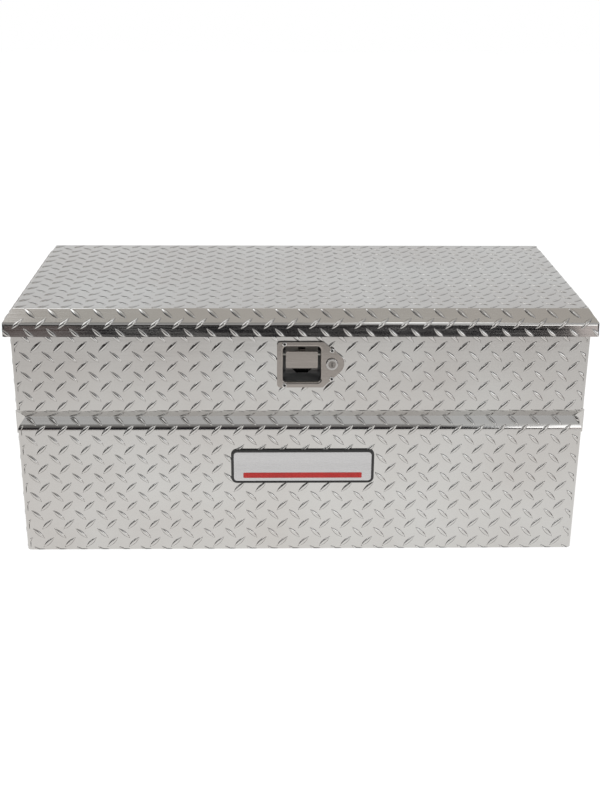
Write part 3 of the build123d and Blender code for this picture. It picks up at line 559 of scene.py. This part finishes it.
# %% [markdown]
# ## Tread over a sheet
# Lugs stand in rows, alternately leaning one way and the other, each row half a pitch along from
# the next.  A sheet is a function that takes p along it, s down or forward along its surface, and
# a height h, and returns points in space.  Copies of one lug could be placed by hand, but they
# would stand off at the bends.  Here the lugs are laid out flat in p and s and then carried by that
# function over every fold, so a lug that crosses a bend bends with it, and points that run past a
# cut edge are held at the edge, as a shear leaves them.

# %% Tread helpers
column_pitch = 0.0358
cut_share = 0.3            # a lug whose centre is past an edge by more of its length is left out
row_steps = np.arange(-20, 30)        # more than any sheet holds


def lug_rows(first_p, first_s, pitch, leaning, limits):
    """Centres of the lugs of one leaning, +1 or -1: (n, 3) of p, s and leaning."""
    p, s = np.meshgrid(first_p + column_pitch * row_steps, first_s + pitch * row_steps)
    low_p, high_p, low_s, high_s = limits
    reach = lug_length * cut_share
    along = (p > low_p - reach) & (p < high_p + reach)
    inside = along & (s > low_s - reach) & (s < high_s + reach)
    return np.stack([p[inside], s[inside], np.full(inside.sum(), leaning)], -1)


def two_leanings(first_p, first_s, pitch, limits, stagger=column_pitch / 2):
    """Rows of both leanings; the second set is half a pitch on and staggered along."""
    slashes = lug_rows(first_p, first_s, pitch, -1.0, limits)
    backs = lug_rows(first_p + stagger, first_s + pitch / 2, pitch, 1.0, limits)
    return np.vstack([slashes, backs])


def lay_lugs(centres):
    """Flat lugs turned by 45 degrees about the centres: p, s and h, each (lugs, points)."""
    a, b, h = lug_points().T
    lean = centres[:, 2:3]
    p = centres[:, 0:1] + (a + lean * b) / math.sqrt(2)
    s = centres[:, 1:2] + (lean * a - b) / math.sqrt(2)
    return p, s, np.broadcast_to(h, p.shape)


def tread(name, body, centres, surface, limits, material, keep_out=None):
    """All the lugs of one sheet as one piece that rides on a body."""
    p, s, h = lay_lugs(centres)
    if keep_out:
        p, s = keep_out(p, s, centres)
    points = surface(np.clip(p, *limits[:2]), np.clip(s, *limits[2:]), h)
    faces, domed = lug_faces()
    starts = points.shape[1] * np.arange(len(centres))
    all_faces = [[int(start) + k for k in face] for start in starts for face in faces]
    piece = mesh_piece(name, points, all_faces, domed * len(centres))
    piece.data.materials.append(material)
    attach(piece, body)
    print(name, len(centres), "lugs")


print("rows tried on each sheet:", len(row_steps), "of each leaning")

# %% [markdown]
# ## Flat walls
# The back and the two ends are plain upright sheets.  Each end has three fields of tread, because
# the front and back sheets wrap round the corners as narrow wings, each with rows of its own.  The
# corners' bends stay bare.  A texture could show flat walls' tread, but the same real lugs as on the
# lid keep every sheet alike.

# %% Flat walls
body_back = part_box("back_panel")[1]
wall_height = body_back.z
half_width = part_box("right_end_panel")[1].x
half_depth = (body_back.y - front_y) / 2
middle_y = (body_back.y + front_y) / 2
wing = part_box("right_end_panel")[0].y - front_y
edge = 0.0008              # bare sheet along every cut edge
corner_strip = 0.0065      # bare strip beside the upright corners
end_strip = 0.0115         # the same, on the end walls
wall_pitch = 0.0334
wall_first = -0.4219       # place of a lug across the front and the back
back_first_s, end_first_s = 0.012, 0.016         # and of a row below the wall's top


def flat_wall(origin, across, normal):
    """Surface of an upright wall: p runs across it, s straight down, h out of it."""
    origin, across, normal = (np.array(v, float) for v in (origin, across, normal))
    down = np.array([0.0, 0.0, -1.0])

    def surface(p, s, h):
        return origin + p[..., None] * across + s[..., None] * down + h[..., None] * normal

    return surface


front_span = (corner_strip - half_width, half_width - corner_strip)
back_limits = (*front_span, edge, wall_height - edge)
back_wall = flat_wall((0, body_back.y, wall_height), (-1, 0, 0), (0, 1, 0))
rows = two_leanings(wall_first, back_first_s, wall_pitch, back_limits)
tread("back_tread", "box", rows, back_wall, back_limits, tread_sheet)

# Field, where it starts and stops, how far its rows are shifted, and its finish.
end_reach = half_depth - wing
end_fields = (
    ("end", -end_reach, end_reach, 0.0, tread_ends),
    ("wing_a", end_strip - half_depth, -end_reach, 0.009, tread_sheet),
    ("wing_b", end_reach, half_depth - end_strip, -0.012, tread_sheet),
)
for side, sign in (("right", 1), ("left", -1)):
    wall = flat_wall((sign * half_width, middle_y, wall_height), (0, sign, 0), (sign, 0, 0))
    for field, start, stop, shift, metal in end_fields:
        limits = (start + edge / 2, stop - edge / 2, edge, wall_height - edge)
        rows = two_leanings(shift, end_first_s + shift, wall_pitch, limits)
        tread(side + "_" + field + "_tread", "box", rows, wall, limits, metal)

# %% [markdown]
# ## Upper front
# The upper sheet is flat down to the groove.  The latch's opening was cut through the tread, so
# lugs that reach into it are held back at its edge, and those whose middle lies inside it or under
# the lock are left out.

# %% Upper front tread
crease_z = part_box("front_lower_panel")[1].z
groove_mouth = 0.013       # from the groove's inner crease up to the flat sheet
upper_first_z = 0.3612     # height of a row of lugs
opening_rise = 0.010       # from the top of the paddle to the top of the opening
opening_half = 0.0298      # half the opening's height
clear_p, clear_s = 0.0325, 0.0323     # half the width and height that stay clear of lugs
lock_clear = 0.012         # no lug's middle is nearer to the lock's axis
lock_low, lock_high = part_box("lock_barrel")
lock_centre = (lock_low + lock_high) / 2
opening_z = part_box("paddle")[1].z + opening_rise - opening_half
opening_s = wall_height - opening_z


def clear_of_latch(p, s, centres):
    """Holds lugs that touch the latch's opening back at its edge."""
    inside = (np.abs(p) < clear_p) & (np.abs(s - opening_s) < clear_s)
    side = np.sign(centres[:, 1:2] - opening_s)
    above = np.abs(centres[:, 1:2] - opening_s) > clear_s
    held_p = np.where(inside & ~above, np.sign(centres[:, 0:1]) * clear_p, p)
    held_s = np.where(inside & above, opening_s + side * clear_s, s)
    return held_p, held_s


upper_limits = (*front_span, edge, wall_height - (crease_z + groove_mouth))
upper_wall = flat_wall((0, front_y, wall_height), (1, 0, 0), (0, -1, 0))
rows = two_leanings(wall_first, wall_height - upper_first_z, wall_pitch, upper_limits)
p, s = rows[:, 0], rows[:, 1]
over_opening = (np.abs(p) < clear_p) & (np.abs(s - opening_s) < clear_s)
over_lock = np.hypot(p - lock_centre.x, s - wall_height + lock_centre.z) < lock_clear
rows = rows[~(over_opening | over_lock)]
tread("front_upper_tread", "box", rows, upper_wall, upper_limits, tread_sheet, clear_of_latch)

# %% [markdown]
# ## Folded profiles
# The lower front and the lid are folded, so their tread follows a folded line.  A curve object
# could be bent to it, but straight runs joined by arcs are exact, and numpy can look up any place
# on them from the distance along.

# %% Folded profile
def folded_profile(corners, radii, outward, steps=24):
    """A path of straight runs joined by tangent arcs, sampled by its length.

    Each inner corner is replaced by an arc of its radius: the run-in is radius times the tangent of
    half the turn, and the arc is the circle through both run-ins.  Returns functions that give the
    place and the outward normal at a distance along the path, and the path's length."""
    corners = np.asarray(corners, float)
    points = [corners[:1]]
    for before, corner, after, radius in zip(corners, corners[1:], corners[2:], radii):
        arrive = (corner - before) / np.linalg.norm(corner - before)
        leave = (after - corner) / np.linalg.norm(after - corner)
        turn = math.atan2(arrive[0] * leave[1] - arrive[1] * leave[0], arrive @ leave)
        run_in = radius * math.tan(abs(turn) / 2)
        inward = np.array([-arrive[1], arrive[0]]) * math.copysign(1, turn)
        centre = corner - arrive * run_in + inward * radius
        angle = np.linspace(0, turn, steps)[:, None]
        spoke = -inward * radius
        swung = np.hstack([
            spoke[0] * np.cos(angle) - spoke[1] * np.sin(angle),
            spoke[0] * np.sin(angle) + spoke[1] * np.cos(angle),
        ])
        points.append(centre + swung)
    points.append(corners[-1:])
    path = np.vstack(points)
    steps_along = np.linalg.norm(np.diff(path, axis=0), axis=1)
    lengths = np.concatenate([[0], np.cumsum(steps_along)])
    runs = np.gradient(path, lengths, axis=0)
    normals = np.stack([-runs[:, 1], runs[:, 0]], -1) * outward
    normals /= np.linalg.norm(normals, axis=1)[:, None]

    def along(values):
        return lambda s: np.stack([np.interp(s, lengths, values[:, k]) for k in (0, 1)], -1)

    return along(path), along(normals), lengths[-1]


elbow = folded_profile([(0, 0), (0.1, 0), (0.1, 0.1)], [0.02], 1)
print("a folded elbow of 0.2 m is", round(elbow[2], 4), "m long along its bend")

# %% [markdown]
# ## Lower front
# The lower sheet starts at the groove's inner crease, leans forward, bends back upright and runs to
# the floor.  At both ends the groove fades out over a sloping facet: there the depth is the smaller
# of the profile's depth and the facet's.

# %% Lower front tread
groove_depth = 0.009
groove_lean = math.radians(28)
groove_bend = 0.024
groove_end = half_width - 0.001
groove_hip = 0.012         # length of the sloping facet
lower_pitch = 0.0340
lower_first = -0.4249      # place of a lug across the sheet
lower_first_rise = 0.2175  # and up it from the floor
lower_stagger = 0.0202     # here a little more than half the distance between lugs
bend_z = crease_z - groove_depth / math.tan(groove_lean)
lower_corners = [(groove_depth, crease_z), (0, bend_z), (0, 0)]
lower_path, lower_normal, lower_length = folded_profile(lower_corners, [groove_bend], -1)


def lower_sheet(p, s, h):
    """The lower front sheet: folded profile, shallower over the groove's end facets."""
    place, normal = lower_path(s), lower_normal(s)
    facet = np.clip((groove_end - np.abs(p)) / groove_hip, 0, 1) * groove_depth
    depth = np.minimum(place[..., 0], facet) + normal[..., 0] * h
    return np.stack([p, front_y + depth, place[..., 1] + normal[..., 1] * h], -1)


lower_limits = (*front_span, edge, lower_length - edge)
first_s = lower_length - lower_first_rise
rows = two_leanings(lower_first, first_s, lower_pitch, lower_limits, lower_stagger)
tread("front_lower_tread", "box", rows, lower_sheet, lower_limits, tread_sheet)

# %% [markdown]
# ## Lid
# The lid is one sheet: a flat top, a sloping border and an upright skirt, folded along the front
# and both sides.  The tread runs unbroken over those folds.  Lugs near the front fold follow the
# front profile and are cut at the mitre, and the others near a side follow the side profile.

# %% Lid profile
lid_low, lid_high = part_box("lid_shell")
bevel_drop = 0.020
front_bevel = 0.020
side_bevel = 0.016
lid_bend = 0.0025          # radius between the top and the border
skirt_bend = 0.008         # and between the border and the skirt
skirt_angle = math.radians(2.0)
skirt_fall = lid_high.z - bevel_drop - lid_low.z
skirt_lean = skirt_fall * math.tan(skirt_angle)
front_crease = lid_low.y + skirt_lean + front_bevel
side_crease = lid_high.x - skirt_lean - side_bevel
lid_inset = 0.1            # where the profiles start, inside the crease
lid_flat = -0.09           # further in than this the top needs no profile


def lid_profile(bevel):
    """A folded border, as height against distance outward from the crease."""
    top = [(-lid_inset, 0), (0, 0)]
    fall = [(bevel, -bevel_drop), (bevel + skirt_lean, -bevel_drop - skirt_fall)]
    path, normal, length = folded_profile(top + fall, [lid_bend, skirt_bend], 1)
    return (lambda t: path(t + lid_inset)), (lambda t: normal(t + lid_inset)), length - lid_inset


def over_fold(path, normal, t, h):
    """Reach past the crease, and height, of a point t along a border and h off its surface."""
    place, lift = path(np.maximum(t, lid_flat)), normal(np.maximum(t, lid_flat))
    reach = np.where(t < lid_flat, t, place[..., 0]) + lift[..., 0] * h
    return reach, lid_high.z + place[..., 1] + lift[..., 1] * h


front_path, front_normal, front_length = lid_profile(front_bevel)
side_path, side_normal, side_length = lid_profile(side_bevel)
print("border and skirt:", round(front_length, 4), "m at the front,", round(side_length, 4), "m")

# %% [markdown]
# ## Tread of the lid
# Near a front corner two folds meet.  A lug belongs to the front when its middle is ahead of the
# front crease, and otherwise to the side that it is beside, so no lug is torn between the two.

# %% Lid tread
lid_pitch = 0.0354
lid_first_p, lid_first_s = -0.4098, 0.0267
mitre = 0.0008             # bare sheet beside the mitre
mitre_share = 0.002        # lugs whose middle is this far past the mitre still belong to the front
fold_reach = 0.009         # and those this far behind the crease still follow its fold
rear_clear = 0.009         # from the rear edge to the first whole lug's middle
front_slope = np.hypot(front_bevel, bevel_drop)
side_slope = np.hypot(side_bevel, bevel_drop)


def lid_sheet(p, s, h):
    """The folded lid: s is the distance ahead of the front crease, p the distance along it."""
    outside = np.abs(p) - side_crease
    ahead, beside = s.mean(1, keepdims=True), outside.mean(1, keepdims=True)
    by_front = (ahead > 0) | ((beside <= 0) & (ahead > -fold_reach))
    widest = side_crease + side_bevel * np.clip(s / front_slope, 0, 1) - mitre
    reach, z = over_fold(front_path, front_normal, s, h)
    front = np.stack([np.clip(p, -widest, widest), front_crease - reach, z], -1)
    foremost = front_bevel * np.clip(outside / side_slope, 0, 1) - mitre
    reach, z = over_fold(side_path, side_normal, outside, h)
    x, y = np.sign(p) * (side_crease + reach), front_crease - np.minimum(s, foremost)
    side = np.stack([x, y, z], -1)
    return np.where(by_front[..., None], front, side)


lid_half = side_crease + side_length - edge
lid_limits = (-lid_half, lid_half, front_crease - body_back.y + edge, front_length - edge)
rows = two_leanings(lid_first_p, lid_first_s, lid_pitch, lid_limits)
outside, ahead = np.abs(rows[:, 0]) - side_crease, rows[:, 1]
on_front = outside < side_bevel * np.clip(ahead / front_slope, 0, 1) + mitre_share
whole = ahead > lid_limits[2] + rear_clear
rows = rows[whole & (on_front | (ahead < 0))]
tread("lid_tread", "lid", rows, lid_sheet, lid_limits, tread_sheet)

# %% [markdown]
# ## Plain metal
# The rest of the box is plain: mill-finish brackets and rails, brushed stainless steel for the
# latch, bright hinge leaves, zinc-plated fasteners, a chromed lock and ground strut rods.  Brushed
# metal could get its look from an anisotropic shader, but fine lines in its bump and roughness show
# from near and far.

# %% Plain metal
along_x = (0.02, 1, 1)     # brushed lines, or streaks, along X
no_grain = (1, 1, 1)


def brushed_finish(name, colour, roughness, stretch, depth):
    """Brushed metal: fine lines along the axis whose stretch is small, depth in metres."""
    finish = Finish(name, colour, 1.0, roughness)
    lines = finish.noise(1400.0, stretch=stretch)
    stains = finish.noise(35.0, detail=3.0, stretch=stretch)
    finish.vary("Roughness", lines, low=roughness * 0.75, high=roughness * 1.3)
    finish.tint(stains, [c * 0.86 for c in colour], colour)
    finish.dent(lines, depth)
    return finish


def brushed(*values):
    """The material of a brushed finish."""
    return brushed_finish(*values).material


steel = ((0.40, 0.37, 0.345), 0.2, along_x, 0.00001)
plain_aluminium = brushed("plain_aluminium", (0.62, 0.62, 0.61), 0.26, (0.03, 1, 1), 0.00001)
stainless = brushed("brushed_stainless", *steel)
hinge_metal = brushed("hinge_stainless", (0.58, 0.57, 0.56), 0.22, along_x, 0.00001)
zinc = brushed("zinc_plate", (0.55, 0.54, 0.50), 0.3, no_grain, 0.00001)
chrome = brushed("lock_chrome", (0.50, 0.49, 0.48), 0.1, no_grain, 0.000004)
lock_face = brushed("lock_face", (0.34, 0.32, 0.30), 0.25, no_grain, 0.000004)
ground_rod = brushed("ground_rod", (0.7, 0.7, 0.71), 0.07, no_grain, 0.000002)
spring_steel = brushed("spring_steel", (0.4, 0.4, 0.41), 0.3, no_grain, 0.000004)
print("finishes so far:", len(bpy.data.materials))

# %% [markdown]
# ## Latch pan and paddle
# The pan and the paddle are the same sheet.  In the cup behind the plate the metal turns matt,
# and painted shade darkens it: darkest beside the paddle, and darker again towards the bottom.
# The paddle's finger tab turns away into the cup, so it is painted nearly black as shade.  Both
# are blends along X, Y or Z in the material, which needs no extra pieces.

# %% Latch pan and paddle
# Painted shade: the cup darkens beside the paddle and towards its bottom, and so does the finger
# tab.
side_shade, foot_shade, tab_shade = (0.03,) * 3, (0.07,) * 3, (0.012, 0.012, 0.013)
tab_fall = 0.0091          # from the paddle's foot to the end of its finger tab
side_ramp, foot_ramp = 0.0008, 0.015  # lengths over which the painted shade deepens
recess_start, recess_full = 0.0016, 0.004          # ahead of the front sheet, and behind it
tab_start, tab_full = 0.0004, 0.0006             # above the paddle's foot, and below it
paddle_low, paddle_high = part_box("paddle")
paddle_foot = paddle_low.z + tab_fall

deep = ("Y", front_y - recess_start, front_y + recess_full)
pan_finish = brushed_finish("latch_pan_stainless", *steel)
pan_finish.film(deep)
# Painted shade in the cup: darker beside the paddle, then darker towards the bottom.
pan_finish.fade(side_shade, deep, ("X", paddle_low.x, paddle_low.x - side_ramp))
pan_finish.fade(side_shade, deep, ("X", paddle_high.x, paddle_high.x + side_ramp))
pan_finish.fade(foot_shade, deep, ("Z", paddle_foot, paddle_foot - foot_ramp))
paddle_finish = brushed_finish("paddle_stainless", *steel)
# Painted shade on the finger tab, which turns away into the cup.
paddle_finish.fade(tab_shade, ("Z", paddle_foot + tab_start, paddle_foot - tab_full))
print("paddle's foot at", round(paddle_foot, 4))

# %% [markdown]
# ## Plastic, paint and rubber
# The struts are painted black, their fittings are nylon, and the lid closes on a foam seal.  Such
# surfaces are told apart by how rough and how grainy they are more than by their colour.

# %% Plastic, paint and rubber
def dull(name, colour, pale, roughness, grain, depth):
    """Plastic, paint or rubber with a fine grain, in grains per metre and metres of depth."""
    finish = Finish(name, colour, 0.0, roughness)
    finish.tint(finish.noise(18.0, detail=3.0), colour, pale)
    grains = finish.noise(grain)
    finish.vary("Roughness", grains, low=roughness * 0.8, high=min(1.0, roughness * 1.2))
    finish.dent(grains, depth)
    return finish.material


strut_paint = dull("strut_paint", (0.012,) * 3, (0.02,) * 3, 0.35, 1500.0, 0.00001)
nylon = dull("black_nylon", (0.018,) * 3, (0.03,) * 3, 0.5, 1200.0, 0.00002)
foam = dull("seal_foam", (0.02,) * 3, (0.035,) * 3, 0.9, 700.0, 0.0002)
# The latch pad is black rubber, painted darker still as shade in the gap round the latch plate.
rubber = dull("pad_rubber_and_shade", (0.006,) * 3, (0.010,) * 3, 0.6, 900.0, 0.00004)
print("finishes so far:", len(bpy.data.materials))

# %% [markdown]
# ## Dressing the parts
# Each part of the frame gets one finish.  The parts keep their own meshes and places.

# %% Dress the parts
dress(plain_aluminium, "floor_panel", "seam_welds", "striker_bracket")
dress(plain_aluminium, "rim_front", "rim_right", "rim_back", "rim_left")
dress(plain_aluminium, "lid_stiffener_front", "lid_stiffener_rear")
dress(plain_aluminium, "strut_lid_brackets", "strut_body_brackets")
dress(pan_finish.material, "latch_pan")
dress(paddle_finish.material, "paddle")
dress(stainless, "latch_frame", "latch_hook")
dress(hinge_metal, "hinge_leaf_body", "hinge_leaf_lid", "hinge_pin")
dress(hinge_metal, "hinge_rivets_body", "hinge_rivets_lid")
dress(zinc, "latch_hook_pin", "paddle_pin", "striker_loop", "striker_nuts")
dress(zinc, "lock_nut", "lock_cam", "cam_screw")
dress(chrome, "lock_barrel")
dress(lock_face, "lock_plug")
dress(spring_steel, "latch_hook_spring", "paddle_spring")
dress(foam, "lid_gasket")
dress(rubber, "latch_pad")
for side in ("left", "right"):
    dress(strut_paint, "strut_tube_" + side)
    dress(ground_rod, "strut_rod_" + side)
    dress(nylon, "strut_foot_" + side, "strut_head_" + side)
print("bare parts:", [name for name, node in nodes.items() if not node.data.materials])

# %% [markdown]
# ## Blind rivets
# Four blind rivets hold the latch.  Each is a low dome with a hollow middle, where the broken
# mandrel shows as a dark dimple; its near-black colour is painted shade.  A cylinder with a bevel
# would miss the hollow, so each profile is a line of radius and height, turned about its axis.

# %% Latch rivets
def turned(name, profile, centres, seat_y, steps=28):
    """Revolves (radius, height) pairs about -Y at each (x, z) centre; the last radius is 0."""
    angle = np.linspace(0, 2 * np.pi, steps, endpoint=False)[:, None]
    radius, height = profile[None, :-1, 0], profile[None, :-1, 1]
    x, z = radius * np.cos(angle), radius * np.sin(angle)
    shape = np.stack([x, np.broadcast_to(-height, x.shape), z], -1).reshape(-1, 3)
    shape = np.vstack([shape, (0, -profile[-1, 1], 0)])
    places = np.array([(x, seat_y, z) for x, z in centres])[:, None, :]
    rings = len(profile) - 1
    inner = [i * rings + rings - 1 for i in range(steps)]
    one = grid_faces(steps, rings, wrap=True)
    one += [[a, b, steps * rings] for a, b in zip(inner, inner[1:] + inner[:1])]
    one += [[i * rings for i in range(steps)][::-1]]
    faces = [[len(shape) * k + v for v in face] for k in range(len(centres)) for face in one]
    return mesh_piece(name, shape + places, faces)


plate_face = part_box("latch_pan")[0].y
rivet_low, rivet_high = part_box("latch_rivets")
rivet_radius = 0.0033      # of the frame's plain heads, which the turned ones replace
left_x, right_x = rivet_low.x + rivet_radius, rivet_high.x - rivet_radius
rivet_z = (rivet_low.z + rivet_high.z) / 2
left_half = (rivet_high.z - rivet_low.z) / 2 - rivet_radius      # half the left pair's spacing
right_half = 0.0239        # and half the right pair's
spots = [(left_x, left_half), (left_x, -left_half), (right_x, right_half), (right_x, -right_half)]
centres = [(x, rivet_z + z) for x, z in spots]
head_mm = [
    (3.9, -0.2), (3.9, 0.2), (3.6, 0.75), (3.0, 1.15), (2.5, 1.25),
    (2.1, 1.1), (1.85, 0.6), (1.7, 0.2), (0, 0.2),
]
mandrel_mm = [(1.6, 0.1), (1.55, 0.45), (1.2, 0.6), (0, 0.5)]
head_metal = brushed("rivet_aluminium", (0.74, 0.73, 0.72), 0.2, no_grain, 0.000004)
# The mandrels are painted near black: shade in the rivets' hollow middles.
mandrel_shade = brushed("mandrel_painted_shade", (0.05, 0.048, 0.045), 0.35, no_grain, 0.000004)
pieces = (("heads", head_mm, head_metal), ("mandrels", mandrel_mm, mandrel_shade))
for name, profile, metal in pieces:
    rivets = turned("latch_rivet_" + name, np.array(profile) / 1000, centres, plate_face)
    rivets.data.materials.append(metal)
    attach(rivets, "box")
    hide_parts("latch_rivets")
print("rivets at", [(round(x, 4), round(z, 4)) for x, z in centres])

# %% [markdown]
# ## Plate on the lower front
# A plain plate with rounded ends is bonded to the tread: a black rim with a brushed silver field
# and a red bar, and nothing on it.  A bevelled cube would round its thickness and its outline
# alike, so each is a stack of rounded rectangles: every ring keeps the same angles, so the rings
# join into a skirt, and one flat face closes each end.

# %% Blank plate
def rounded_plate(name, centre, size, radius, rings, back_y, arc=10):
    """A flat piece facing -Y; rings is a list of (inset, height) from the back edge to the face."""
    turn = np.radians(np.concatenate([np.linspace(q, q + 90, arc) for q in (0, 90, 180, 270)]))
    outward = np.stack([np.cos(turn), np.sin(turn)], -1)
    quarter = np.repeat([(1, 1), (-1, 1), (-1, -1), (1, -1)], arc, axis=0)
    middle = quarter * (np.array(size) / 2 - radius)
    inset, height = np.array(rings).T
    flat = middle[:, None, :] + outward[:, None, :] * (radius - inset)[None, :, None]
    y = np.broadcast_to(back_y - height, flat.shape[:2])
    points = np.stack([centre[0] + flat[..., 0], y, centre[1] + flat[..., 1]], -1)
    count, levels = flat.shape[:2]
    skirt = grid_faces(count, levels, wrap=True)
    front = [i * levels + levels - 1 for i in range(count)]
    back = [i * levels for i in range(count)][::-1]
    smooth = [True] * len(skirt) + [False, False]
    return mesh_piece(name, points, skirt + [front, back], smooth)


rim_size, field_size, bar_size = (0.236, 0.060), (0.2276, 0.0516), (0.196, 0.0095)
rim_radius, field_radius, bar_radius = 0.010, 0.0058, 0.0015
bar_drop = 0.0155          # below the plate's middle
rim_sink = 0.0003          # the rim rests on the lugs, and sinks a little between them
field_step, bar_step = 0.0017, 0.0023            # ahead of the rim's back
rim_centre = (0.0025, 0.154)
bar_centre = (rim_centre[0], rim_centre[1] - bar_drop)
rim_back = front_y - lug_height + rim_sink
field_back, bar_back = rim_back - field_step, rim_back - bar_step
rim_rings = [
    (0, 0), (0, 0.0014), (0.0004, 0.0021),
    (0.0010, 0.0024), (0.0036, 0.0024), (0.0042, 0.0018),
]
thin_rings = [(0, 0), (0, 0.0004), (0.0003, 0.0007)]

rim = rounded_plate("front_plate_rim", rim_centre, rim_size, rim_radius, rim_rings, rim_back)
field = rounded_plate(
    "front_plate_field", rim_centre, field_size, field_radius, thin_rings, field_back
)
bar = rounded_plate("front_plate_bar", bar_centre, bar_size, bar_radius, thin_rings, bar_back)
black = dull("plate_black", (0.012,) * 3, (0.022,) * 3, 0.3, 900.0, 0.00001)
silver = brushed("plate_silver", (0.62, 0.62, 0.63), 0.24, along_x, 0.000006)
red = dull("plate_red", (0.46, 0.012, 0.010), (0.56, 0.018, 0.014), 0.3, 700.0, 0.00001)
for piece, material, slot in (
    (rim, black, "black_plastic"), (field, silver, "stainless"), (bar, red, "black_plastic"),
):
    piece.data.materials.append(material)
    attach(piece, "box")
print("plate", [round(v, 3) for v in rim_centre])
